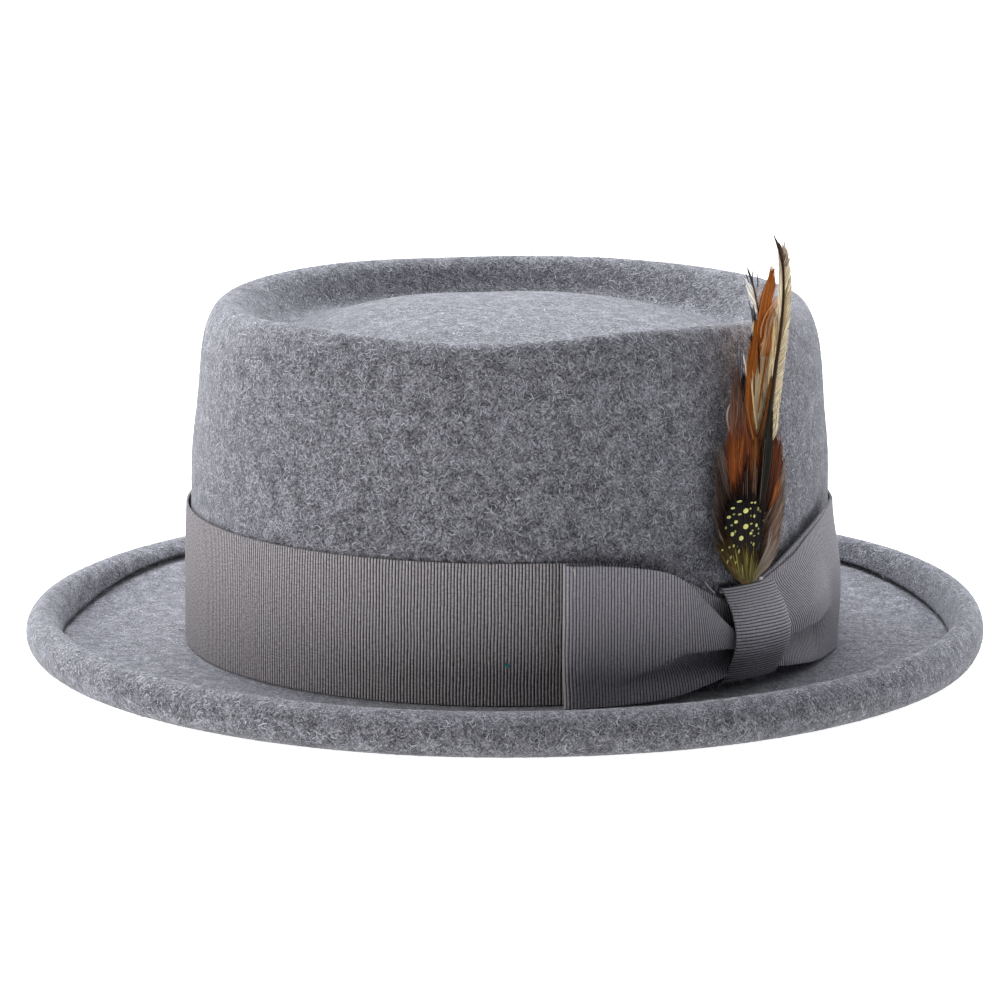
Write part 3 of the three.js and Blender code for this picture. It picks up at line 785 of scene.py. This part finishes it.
darkTip = [
    (10, 0.4, 0.2, 0.3, "5a4030", "4a3a34", [(1.4, 101.4), (1.8, 102.7)], [(-0.9, 113.5), (1.2, 111.8)],
     0.02),
    (60, 0.28, 0.2, 0.4, "d8cdbb", "e6e2dc", [(2, 108.9), (-0.2, 117.1)],
     [(-0.7, 112.6), (-2.7, 117.9), (-3, 120.4)], 0.03),
    (44, 0.26, 0.2, 0.4, "d2beb0", "c2bcc0", [(2.2, 108.9), (0.4, 116.4)],
     [(3.5, 112.1), (3, 115.6), (2.1, 118.5)], -0.03),
    (7, 0.34, 0.5, 0.6, "5a4030", "30261f", [(1.9, 109.5), (1.9, 110.9)], [(-1.6, 121.2), (-1.2, 120.5)],
     [(0, 116.2), (0.2, 116.5)]),
    (16, 0.4, 0.4, 0.5, "2c2628", "4a4a4e", [(-0.4, 117.9), (-1, 120)], [(-2.4, 122.6), (-3.1, 124)]),
    (5, 0.26, 0.4, 0.5, "34302f", "6c6c72", [(-0.7, 119.1), (-0.9, 120)], [(-0.8, 122.3), (-1.1, 122.8)]),
    (5, 0.28, 0.4, 0.5, "34302f", "54545a", [(-1.8, 118.4), (-2, 118.9)], [(-3.2, 121.6), (-3.5, 122.5)]),
    (5, 0.32, 0.4, 0.5, "2a2c32", "6a6c76", [(1.5, 117.7), (1.3, 118)], [(1, 120.9), (1.1, 121.7)]),
]
orange = [
    (190, 0.34, 0.4, 0.5, "743a10", "a8622c", [(0.7, 99.6), (1.9, 101.1), (3.1, 102.1)],
     [(5, 118.5), (6.4, 121.4), (7.2, 121.3), (8.2, 116.7)], [(1.6, 111.3), (4, 112.7), (6.5, 113)], 0.04),
    (150, 0.36, 0.3, 0.4, "68330c", "94541c", [(0.5, 74.7), (0.9, 75.8), (1.2, 76.9)],
     [(-0.8, 101.7), (1, 102.4), (2, 101.4)], [(-3, 85.9), (-1.7, 86), (-0.3, 86.1)], 0.04),
    (70, 0.34, 0.38, 0.46, "844812", "8c4e16", [(-2.8, 90.7), (-0.9, 90.5)], [(0.5, 108), (2.9, 108.9)],
     [(-1.2, 99.8), (0.8, 99.6)]),
    (40, 0.34, 0.5, 0.56, "743c0c", "a45c1c", [(2.5, 105.6), (4.9, 107.5)], [(4.6, 116.6), (7.1, 116.3)],
     [(3.6, 110.5), (5.6, 111.4)]),
    (110, 0.22, 0, 0.1, "8c7c66", "b8a07c", [(1.8, 76.2), (2.4, 76.1)], [(1.2, 100), (7, 98.7)],
     [(0.3, 87.1), (4, 86.1)]),
    (100, 0.24, 0, 0.1, "a87c50", "c89c74", [(0.8, 98.4), (6.6, 97.1)], [(4.1, 109.3), (10, 113.1)],
     [(2.3, 103.3), (7.7, 102.6)]),
    (60, 0.26, 0.1, 0.2, "b69c78", "ccb494", [(2.1, 76.1), (2.9, 76.6)], [(6.1, 96), (8.7, 95.7)],
     [(4.3, 84.9), (6.4, 85.8)]),
    (7, 0.3, 0.4, 0.5, "96602e", "8a4c18", [(2, 81.9), (2.3, 82.4)], [(5, 99), (5.6, 99.5)],
     [(3.2, 89.4), (3.6, 89.6)]),
    (8, 0.34, 0.4, 0.5, "8a4a18", "a46434", [(4.8, 97.9), (5.4, 98.1)], [(6, 106.3), (6.6, 107.3)],
     [(5.5, 101.8), (6.2, 101.7)]),
    (6, 0.3, 0.5, 0.6, "4a240e", "34140a", [(2, 93.2), (2.2, 93.2)], [(0.5, 104.1), (1, 104.4)],
     [(1.6, 98.1), (1.9, 98)]),
    (4, 0.3, 0.5, 0.6, "54503a", "2c2418", [(0, 87.2), (0.4, 87.2)], [(-0.2, 92.4), (0.1, 92.1)],
     [(-0.2, 89.5), (0.1, 89.5)]),
    (4, 0.26, 0.5, 0.6, "6a6250", "50483c", [(3.9, 84.5), (4.3, 84.4)], [(3.2, 89.7), (3.5, 89.6)],
     [(3.4, 86.8), (3.8, 87)]),
    (6, 0.3, 0.8, 0.9, "b87c48", "d8a070", [(1.8, 103.4), (2.2, 103.4)], [(8.7, 113.9), (9.2, 114.4)],
     [(3.2, 109.2), (3.6, 109.4)]),
    (5, 0.28, 0.8, 0.9, "b07848", "d09a6c", [(3.2, 102.7), (3.6, 102.7)], [(8.6, 111.6), (9, 112.1)],
     [(4.5, 108.2), (4.9, 108.4)]),
    (4, 0.26, 0.8, 0.9, "b8865a", "d0a67c", [(5, 103), (5.5, 103.3)], [(8, 110.6), (8.4, 110.8)],
     [(5.7, 107.5), (6.2, 107.4)]),
    (4, 0.26, 0.8, 0.9, "a86a3c", "8c5c3c", [(-0.3, 74.9), (0, 75.1)], [(-4.4, 88.4), (-4.1, 88.7)],
     [(-2.3, 81.1), (-1.9, 81.3)]),
    (5, 0.28, 0.8, 0.9, "b49a5c", "c8a884", [(1.2, 77.5), (1.3, 78.1)], [(-0.9, 92.5), (-0.7, 93)],
     [(-0.6, 85.7), (-0.4, 85.6)]),
    (5, 0.32, 0.2, 0.3, "8a7c74", "d4c4b6", [(-2.8, 91.5), (-2.6, 91.8)], [(-3.9, 99), (-3.7, 99.2)],
     [(-3.2, 95.2), (-2.9, 95.2)]),
    (12, 0.34, 0.1, 0.2, "2c2020", "3a2c30", [(-3.6, 86), (-2.7, 85.8)], [(-2.9, 93.8), (-2.1, 94.2)],
     [(-3.5, 89.9), (-2.6, 89.8)]),
    (9, 0.34, 0.1, 0.2, "a8987c", "c8bca4", [(-0.9, 105.1), (0.1, 104.7)], [(-0.3, 108.1), (0.4, 107.7)],
     [(-0.8, 106.5), (0.3, 106.4)]),
    (5, 0.26, 0, 0.1, "3a4454", "5a6470", [(-0.3, 108.1), (-0.1, 108.1)], [(-2, 113.9), (-1.8, 113.9)],
     [(-1.3, 111.3), (-1.1, 111.3)]),
    (6, 0.3, 0, 0.1, "33302e", "4c4a50", [(0.8, 106.3), (1.1, 106.3)], [(-0.2, 112.3), (0, 112.6)],
     [(0.3, 109.2), (0.6, 109.1)]),
    (14, 0.34, 0, 0.1, "4a2c20", "33262c", [(-0.8, 99.1), (0, 100.2)], [(-1.4, 103.7), (-0.5, 105)],
     [(-1.2, 101.7), (-0.5, 102.5)]),
]
longCream = [
    (470, 0.27, 0.1, 0.2, "cbb893", "dfd0b6",
     [(9.6, 125.6), (11.1, 120.3), (11.6, 112.4), (11.1, 105.4), (10, 98.4), (8.7, 90.7), (7.5, 81.8),
      (7.2, 76.1), (7.8, 73.5)],
     [(10.2, 128.9), (13.1, 124.9), (15, 117.6), (14.6, 109.2), (13.4, 100.8), (11.9, 92.5), (10.8, 85.3),
      (9.8, 79.7), (9.7, 76.9)], -0.04),
    (44, 0.2, 0.2, 0.3, "6a5244", "b8a494", [(9.7, 125.6), (11.1, 121.5)], [(10.9, 129.1), (13.7, 124)],
     -0.03, 0.14),
    (30, 0.26, 0.2, 0.3, "a89070", "c4b08c", [(11.7, 114.1), (10, 100.2)], [(13.2, 119.5), (13.1, 107.7)],
     -0.03),
    (24, 0.3, 0.2, 0.3, "d4c8a4", "dccfae", [(7.8, 74.9), (8.6, 75.3)], [(9, 84.4), (10.1, 85.4)], -0.03),
    (280, 0.26, 0, 0.1, "d0bd98", "e2d4bc",
     [(10.8, 119.8), (11.4, 113.8), (10.9, 107.4), (10.1, 101.3), (8.9, 95.2), (7.7, 89.7), (6.4, 84.2)],
     [(8.8, 128.2), (9.1, 123.7), (9.4, 118.3), (8.9, 112.7), (7.7, 107.2), (6.9, 101.1), (5.9, 95)], 0.02),
    (26, 0.26, 0.15, 0.2, "a88c60", "bca47c", [(6.3, 93.3), (8.4, 99.2)], [(6.9, 105.1), (8.8, 109.9)],
     0.01),
    (30, 0.32, 0, 0.1, "c0a87c", "ccb890", [(5.1, 86.6), (6.7, 90.9)], [(6, 99), (7.9, 100.4)], 0.01),
    (40, 0.3, 0.3, 0.35, "3a2824", "5a4c4a", [(10.5, 122.7), (8.8, 128)], [(11.1, 126), (8.4, 129.8)],
     -0.02),
]
creamShaft = [
    (110, 0.42, 0.5, 0.6, "1c1612", "20201a", [(1.8, 56.2), (3, 55.4), (3.8, 56.4)],
     [(3.9, 81.7), (5.8, 86), (6.9, 78.5)], [(3, 68.2), (4.7, 68.6), (6.3, 69.5)]),
    (50, 0.4, 0.55, 0.62, "1e1812", "1c2019", [(2.5, 58), (3.7, 57.9)], [(4.8, 75.4), (6.8, 75.1)],
     [(3.9, 65.8), (5.9, 66.1)]),
    (60, 0.38, 0.45, 0.5, "3c1c0a", "6c4012", [(0.8, 75.4), (3, 73.9)], [(5.3, 87.8), (6.4, 91.6)],
     [(2.8, 80.2), (4.4, 80.5)]),
]
creamShaftLine = [
    (5.1, 75.3), (5.7, 79.8), (6.2, 83.1), (6.5, 85.9), (7, 88.7), (7.5, 91.5), (8, 94.2), (8.5, 97),
    (9.1, 99.7), (9.6, 102.5), (10, 105.3), (10.4, 108.1), (10.7, 110.8), (10.9, 113.6), (10.9, 116.5),
    (10.8, 119.3), (10.5, 122.2), (9.9, 124.5), (9.1, 126.5), (8.1, 128.6), (7, 130.3), (6.1, 131.7),
]
spotted = [
    (330, 0.42, 0.2, 0.4, "241d18", "1d191b", [(-4.9, 42.9), (-2.2, 41), (-0.1, 41.8)],
     [(-10.8, 50.9), (-10.3, 55.4), (-7.9, 57.9), (-4.7, 58.9), (-0.9, 58.4), (1.9, 55.9), (2.8, 51.2),
      (2.5, 47.3)]),
    (240, 0.32, 0.25, 0.45, "5c4e30", "3a2c14", [(-2.3, 33.9), (0.2, 32.3), (1.8, 32.6)],
     [(-11.6, 42.4), (-12.5, 46.6), (-10.5, 49.2), (-6.9, 46.4), (-2.6, 44.3), (2.5, 42.3)], 0.06, 0.12),
    (34, 0.26, 0.3, 0.4, "5e4e28", "5c401c", [(-4, 36.5), (-2.1, 35)],
     [(-10.7, 41.7), (-10.2, 44.5), (-8.2, 44.8)], 0.06),
    (130, 0.28, 0, 0.2, "6c6656", "524c3c", [(-0.5, 31.8), (2, 31.4)],
     [(-6.6, 38.6), (-4, 41.2), (0.9, 40.5), (6.2, 39)]),
    (130, 0.22, 0.2, 0.4, "70655a", "9a8c80", [(1, 32.8), (2.7, 36.6)],
     [(7.4, 37.6), (8.6, 41.6), (5.4, 47.4)], -0.08, 0.2),
    (34, 0.2, 0.4, 0.5, "5c563a", "6e6a38", [(-0.8, 33.6), (2.1, 33.2)],
     [(-5.3, 39.7), (-3.8, 42.4), (0.5, 40.6), (5.6, 38.8)], 0.03),
    (22, 0.2, 0.5, 0.6, "7c7836", "a8a050", [(-4.8, 36.3), (-1.8, 34.7), (2.3, 34.3)],
     [(-8, 40.1), (-5.5, 41.5), (-2.3, 41.9), (2.5, 39.4)], 0.03, 0.3),
    (8, 0.16, 0, 0.1, "5c4e48", "74625a", [(-4.4, 56.2), (0.6, 55.5)],
     [(-4.9, 64.3), (-2.1, 68.4), (1.5, 66.2)], 0.02),
    (8, 0.18, 0.2, 0.3, "6a5c50", "8a7c70", [(-12.1, 48.2), (-10.7, 46.3)], [(-13.2, 51.2), (-12.5, 50)],
     0.1),
]
# spots as (y, z, half width, half height, brightness)
spots = [
    (-4, 55.4, 1.02, 0.74, 1), (-3.9, 50.9, 1.02, 0.77, 1), (-5.5, 47.8, 0.83, 0.71, 1),
    (-7.5, 52.7, 0.71, 0.51, 0.95), (-8.7, 49.4, 0.63, 0.63, 0.95), (-6.4, 58.4, 1.02, 0.31, 0.85),
    (-8.7, 56.8, 0.79, 0.34, 0.85), (-10, 54.4, 0.75, 0.46, 0.8), (-6.2, 54.7, 0.75, 0.29, 0.75),
    (-8.3, 55, 0.51, 0.26, 0.6), (-1.8, 57.4, 0.55, 0.26, 0.8), (-0.6, 57.3, 0.47, 0.34, 0.85),
    (0.6, 55.3, 0.47, 0.66, 0.5), (1.4, 54.5, 0.24, 0.4, 0.5), (-2.3, 55.8, 0.35, 0.29, 0.9),
    (-0.8, 53.4, 0.39, 0.51, 0.95), (-2.1, 53.7, 0.31, 0.37, 0.55), (0.1, 50.7, 0.47, 0.54, 0.9),
    (0.9, 49.6, 0.28, 0.29, 0.7), (-1.9, 51.4, 0.51, 0.26, 0.85), (-2, 48.7, 0.59, 0.43, 0.85),
    (-1.4, 49.4, 0.43, 0.29, 0.75), (-0.7, 47.8, 0.55, 0.23, 0.6), (0.9, 48.2, 0.31, 0.26, 0.8),
    (-9, 52, 0.51, 0.31, 0.6), (-11, 51.5, 0.31, 0.4, 0.6), (-7.7, 50, 0.31, 0.46, 0.65),
    (-0.8, 45.4, 0.43, 0.51, 0.7), (-1.7, 46, 0.24, 0.37, 0.6), (-8.1, 46, 0.39, 0.46, 0.8),
    (-9.6, 45.8, 0.31, 0.34, 0.7), (-6, 44.1, 0.31, 0.69, 0.75), (-12, 45.3, 0.35, 0.31, 0.8),
    (-8.6, 42.7, 0.31, 0.54, 0.75), (-9.5, 41.5, 0.28, 0.66, 0.7), (-6.4, 40.8, 0.31, 0.49, 0.75),
    (-6.8, 45.6, 0.2, 0.26, 0.4), (2.9, 51.7, 0.24, 0.23, 0.6),
]


# the feathers' upright sheet, how loosely the barbs of a sheaf lie, and a spot's dome
sheet = {"radius": 94.8, "foot": 32, "over": 15, "drawn": 0.4}
loose = {
    "shift": 0.8, "aside": 0.02, "bend": 0.025, "width": (0.7, 1.25), "arch": 0.25, "fade": 0.12,
    "tone": 0.32, "thick": 0.09,
}
spotDome = {"sides": 8, "rise": 0.12, "sink": 0.1, "tone": "dcdc86", "contrast": 1.6}


def linePoint(line, share):
    place = np.clip(share, 0, 1) * (len(line) - 1)
    i = np.clip(place.astype(int), 0, len(line) - 2)
    line = np.array(line, float)
    return line[i] + (line[i + 1] - line[i]) * (place - i)[:, None]


# strands are three-sided: a left, a middle and a right point at each section
strandSides = np.array([0, 1, 4, 3, 1, 2, 5, 4, 2, 0, 3, 5])


def strandPart(rings, tone):
    count, sections = rings.shape[:2]
    first = np.arange(count)[:, None, None] * sections * 3
    step = np.arange(sections - 1)[:, None] * 3
    faces = (first + step + strandSides).reshape(-1, 4)
    return rings.reshape(-1, 3), faces, np.repeat(tone[:, :, None, :], 3, 2).reshape(-1, 3)


def flatPoint(flat, out):
    # feathers stand on their own upright sheet round the crown and draw in behind the knot
    lift = smoothShare((flat[..., 1] - sheet["foot"]) / sheet["over"])
    out = out * (sheet["drawn"] + (1 - sheet["drawn"]) * lift)
    return hatPoint(flat[..., 0] / sheet["radius"], sheet["radius"] + out, flat[..., 1])


def barbs(row, base, rng, sections):
    # each barb is a flat three-sided lock that tapers to both ends
    sheaf = {"bend": 0, "ragged": 0.07, **dict(zip(sheafColumns, row))}
    count = sheaf["count"]
    shift = rng.uniform(-loose["shift"], loose["shift"], count)
    share = (np.arange(count) + shift) / max(count - 1, 1)
    root, tip = linePoint(sheaf["root"], share), linePoint(sheaf["tip"], share)
    reach = tip - root
    length = np.linalg.norm(reach, axis=1, keepdims=True)
    across = np.stack([-reach[:, 1], reach[:, 0]], -1) / length
    tip = tip + reach * rng.normal(0, sheaf["ragged"], (count, 1))
    tip = tip + across * rng.normal(0, loose["aside"], (count, 1)) * length
    if isinstance(sheaf["bend"], list):
        mid = linePoint(sheaf["bend"], share) * 2 - (root + tip) / 2
    else:
        bend = sheaf["bend"] + rng.normal(0, loose["bend"], (count, 1))
        mid = (root + tip) / 2 + across * length * bend
    t = np.linspace(0, 1, sections)[None, :, None]
    path = root[:, None] * (1 - t) ** 2 + 2 * mid[:, None] * t * (1 - t) + tip[:, None] * t * t
    heading = np.gradient(path, axis=1)
    heading /= np.linalg.norm(heading, axis=2, keepdims=True) + 1e-9
    side = np.stack([-heading[..., 1], heading[..., 0]], -1)
    taper = np.clip(np.sin(math.pi * (0.12 + 0.86 * t[..., 0])) ** 0.5, 0.05, 1)
    half = sheaf["width"] / 2 * taper * rng.uniform(*loose["width"], (count, 1))
    out = base + sheaf["near"] + (sheaf["far"] - sheaf["near"]) * rng.random((count, 1))
    out = out + loose["arch"] * np.sin(math.pi * t[..., 0]) * rng.random((count, 1))
    fade = np.clip(t * 1.1 + rng.normal(0, loose["fade"], (count, 1, 1)), 0, 1)
    tone = blendTones((sheaf["rootTone"], sheaf["tipTone"]), fade)
    tone = tone * rng.lognormal(0, loose["tone"], (count, 1, 1))
    left, right = path + side * half[..., None], path - side * half[..., None]
    rings = [flatPoint(left, out), flatPoint(path, out + loose["thick"]), flatPoint(right, out)]
    return strandPart(np.stack(rings, 2), tone)


def shaftPart(line, widths, base, tones, steps=40, place=flatPoint):
    # one strand with its own widths, for a shaft or a thread
    t = np.linspace(0, 1, steps)
    path = linePoint(line, t)
    for _ in range(3):
        path[1:-1] = (path[:-2] + 2 * path[1:-1] + path[2:]) / 4
    heading = np.gradient(path, axis=0)
    heading /= np.linalg.norm(heading, axis=1, keepdims=True)
    side = np.stack([-heading[:, 1], heading[:, 0]], -1)
    half = np.interp(t, np.linspace(0, 1, len(widths)), widths)[:, None] / 2
    out = base + 0 * t
    rings = [place(path + side * half, out), place(path, out + 0.3), place(path - side * half, out)]
    return strandPart(np.stack(rings, 1)[None], blendTones(tones, t[:, None])[None])


def spotPart(spot, base):
    # a low dome on top of the barbs: its rim, its top and its underside
    y, z, wide, high, bright = spot
    sides = spotDome["sides"]
    k = np.arange(sides)
    turn = k * 2 * math.pi / sides
    rim = np.stack([y + wide * np.cos(turn), z + high * np.sin(turn)], -1)
    middle = np.array([[y, z], [y, z]])
    heights = np.array([base + spotDome["rise"], base - spotDome["sink"]])
    points = np.concatenate([flatPoint(rim, base + 0 * turn), flatPoint(middle, heights)])
    above, below = [k, (k + 1) % sides, 0 * k + sides], [(k + 1) % sides, k, 0 * k + sides + 1]
    faces = np.concatenate([np.stack(above, -1), np.stack(below, -1)])
    tone = linear(spotDome["tone"]) * bright ** spotDome["contrast"]
    return points, faces, np.repeat(tone[None], len(points), 0)


def featherPiece(name, parts, nodeName, material):
    points, faces, tones, total = [], [], [], 0
    for part in parts:
        points.append(part[0])
        faces += (part[1] + total).tolist()
        tones.append(part[2])
        total += len(part[0])
    tones = np.clip(np.concatenate(tones), 0, 1)
    tones = np.concatenate([tones, np.ones((len(tones), 1))], 1)
    obj = makeMesh(name, np.concatenate(points), faces, tones=tones)
    faceOut(obj)
    settle(obj, material, nodeName)


# Shafts, as the line of the middle, widths from foot to tip, how far off the felt, and tones
tipShaft = [(1.7, 33), (1.1, 52), (2.5, 74), (1.7, 101), (2.5, 110), (0.7, 116), (-0.8, 120), (-2.4, 123.4)]
tipShafts = [(tipShaft, (0.8, 0.6, 0.5, 0.3), 2.0, ("8a6a4a", "33281f"))]
orangeShafts = [
    ([(1.6, 33), (0.8, 52), (1.8, 71.6), (1.5, 76)], (0.9, 0.7, 0.6), 2.3, ("8a6a3a", "6e4418")),
]
creamWidths = (2.2, 1.8, 1.6, 1.5, 1.4, 1.2, 1.05, 1, 1.3, 1.3, 0.25)
creamShafts = [
    (creamShaftLine, creamWidths, 3.7, ("2c2114", "38220f")),
    ([(1.3, 33), (1.5, 46), (3.9, 60), (6, 74)], (0.8, 1.0, 1.5), 2.9, ("4a4434", "2a2a24")),
    ([(2.1, 56), (2.7, 63), (3.1, 69), (3.8, 74.4)], (0.3, 0.3, 0.2), 3.9, ("6a6056", "5a544c")),
]
# each feather's layer is how far its lowest barbs lie off the felt
feathers = [
    {"name": "feather_rust", "node": "feather_rust_body", "slot": "feather_rust",
     "layer": 0.5, "sections": 6, "sheaves": rust, "shafts": []},
    {"name": "feather_white_tip", "node": "feather_dark_tip", "slot": "feather_dark_tip",
     "layer": 1.9, "sections": 6, "sheaves": darkTip, "shafts": tipShafts},
    {"name": "feather_orange_spear", "node": "feather_orange", "slot": "feather_orange",
     "layer": 2.4, "sections": 9, "sheaves": orange, "shafts": orangeShafts},
    {"name": "feather_cream", "node": "feather_long_cream", "slot": "feather_cream",
     "layer": 3.2, "sections": 7, "sheaves": longCream + creamShaft, "shafts": creamShafts},
    {"name": "feather_guinea", "node": "feather_spotted", "slot": "feather_spotted",
     "layer": 4.1, "sections": 6, "sheaves": spotted, "shafts": [], "spots": spots, "spotLift": 0.75},
]


def buildFeathers():
    rng = np.random.default_rng(5)
    look = fibreMaterial("featherBarbs", 0.03)
    for row in feathers:
        parts = [barbs(sheaf, row["layer"], rng, row["sections"]) for sheaf in row["sheaves"]]
        parts += [shaftPart(*shaft) for shaft in row["shafts"]]
        parts += [spotPart(spot, row["layer"] + row["spotLift"]) for spot in row.get("spots", [])]
        featherPiece(row["name"], parts, row["node"], look)


buildFeathers()
print("feathers")


def ribbonStrand(flat, out):
    return wallPoint(flat[..., 0] / sheet["radius"], flat[..., 1], out)


# Loose stitches on the bow, and one stray teal fibre on the band
threads = [
    {"line": [(-15.9, 36.4), (-14.7, 34.8), (-12.5, 32.7)], "width": 0.35, "out": 3.8, "tone": "b9b5b2"},
    {"line": [(4.6, 34.2), (5.9, 34.2)], "width": 0.8, "out": 3.6, "tone": "dcd8d4"},
    {"line": [(-55.3, 43.8), (-55.0, 42.0)], "width": 0.5, "out": 6.4, "tone": "b4aeac"},
    {"line": [(-73.4, 16.2), (-72.1, 15.5)], "width": 1.2, "out": 1.3, "tone": "3c7c84"},
]
strands = []
for row in threads:
    widths, tones = (row["width"], row["width"]), (row["tone"], row["tone"])
    strands.append(shaftPart(row["line"], widths, row["out"], tones, 8, ribbonStrand))
featherPiece("loose_threads", strands, None, fibreMaterial("looseThreads", 0.1))
print("threads")

# Floor, light and camera
stageLook, stageTree, stageShader = newMaterial("whiteFloor")
fillInputs(stageTree, stageShader, {
    "Base Color": (0.5, 0.5, 0.5, 1), "Roughness": 0.9,
    "Emission Color": (1, 1, 1, 1), "Emission Strength": 0.92,
})
bpy.ops.object.select_all(action="DESELECT")
bpy.ops.mesh.primitive_plane_add(size=12, location=(0, 0, 0))
floor = bpy.context.active_object
floor.name = "floor"
floor.data.materials.append(stageLook)

# The room is bright behind the hat and dimmer on the camera's side
room = {
    "bright": (-0.73, 0.68, 0.1), "dim": 0.05, "full": 2.35, "from": -0.45, "to": 0.75,
    "tint": (0.95, 0.965, 1, 1),
}
world = bpy.data.worlds.new("whiteRoom")
bpy.context.scene.world = world
world.use_nodes = True
worldTree = world.node_tree
direction = addNode(worldTree, "TexCoord")
towards = addNode(worldTree, "VectorMath", operation="DOT_PRODUCT")
fillInputs(worldTree, towards, {0: direction.outputs["Generated"], 1: Vector(room["bright"]).normalized()})
fade = addSmoothRange(worldTree, {
    "From Min": room["from"], "From Max": room["to"], "To Min": room["dim"], "To Max": room["full"],
    "Value": towards.outputs["Value"],
})
fillInputs(worldTree, worldTree.nodes["Background"], {"Strength": fade, "Color": room["tint"]})

lights = [
    {"name": "topSoftbox", "place": (-0.68, 0.26, 1.18), "aim": (0, 0, 0.05),
     "size": 1.0, "power": 26.5, "tint": (0.93, 0.95, 1)},
    {"name": "leftSoftbox", "place": (-0.36, -1.15, 0.35), "aim": (0, 0, 0.04),
     "size": 0.6, "power": 6.6, "tint": (1, 0.98, 0.96)},
]
for row in lights:
    bpy.ops.object.light_add(type="AREA", location=row["place"])
    lamp = bpy.context.active_object
    lamp.name = row["name"]
    lamp.data.size = row["size"]
    lamp.data.energy = row["power"]
    lamp.data.color = row["tint"]
    aim = Vector(row["aim"]) - Vector(row["place"])
    lamp.rotation_euler = aim.to_track_quat("-Z", "Y").to_euler()

view = {
    "place": (1.0592, -1.0622, 0.3461), "tilt": 78.597, "turn": 45, "roll": 0.5, "lens": 188.3,
    "sensor": 36, "farEnd": 50,
}
bpy.ops.object.camera_add(location=view["place"])
camera = bpy.context.active_object
camera.rotation_euler = (math.radians(view["tilt"]), 0, math.radians(view["turn"]))
camera.rotation_euler.rotate_axis("Z", math.radians(view["roll"]))
camera.data.lens = view["lens"]
camera.data.sensor_width = view["sensor"]
camera.data.clip_end = view["farEnd"]
bpy.context.scene.camera = camera
bpy.context.scene.view_settings.view_transform = "Standard"
print("stage")
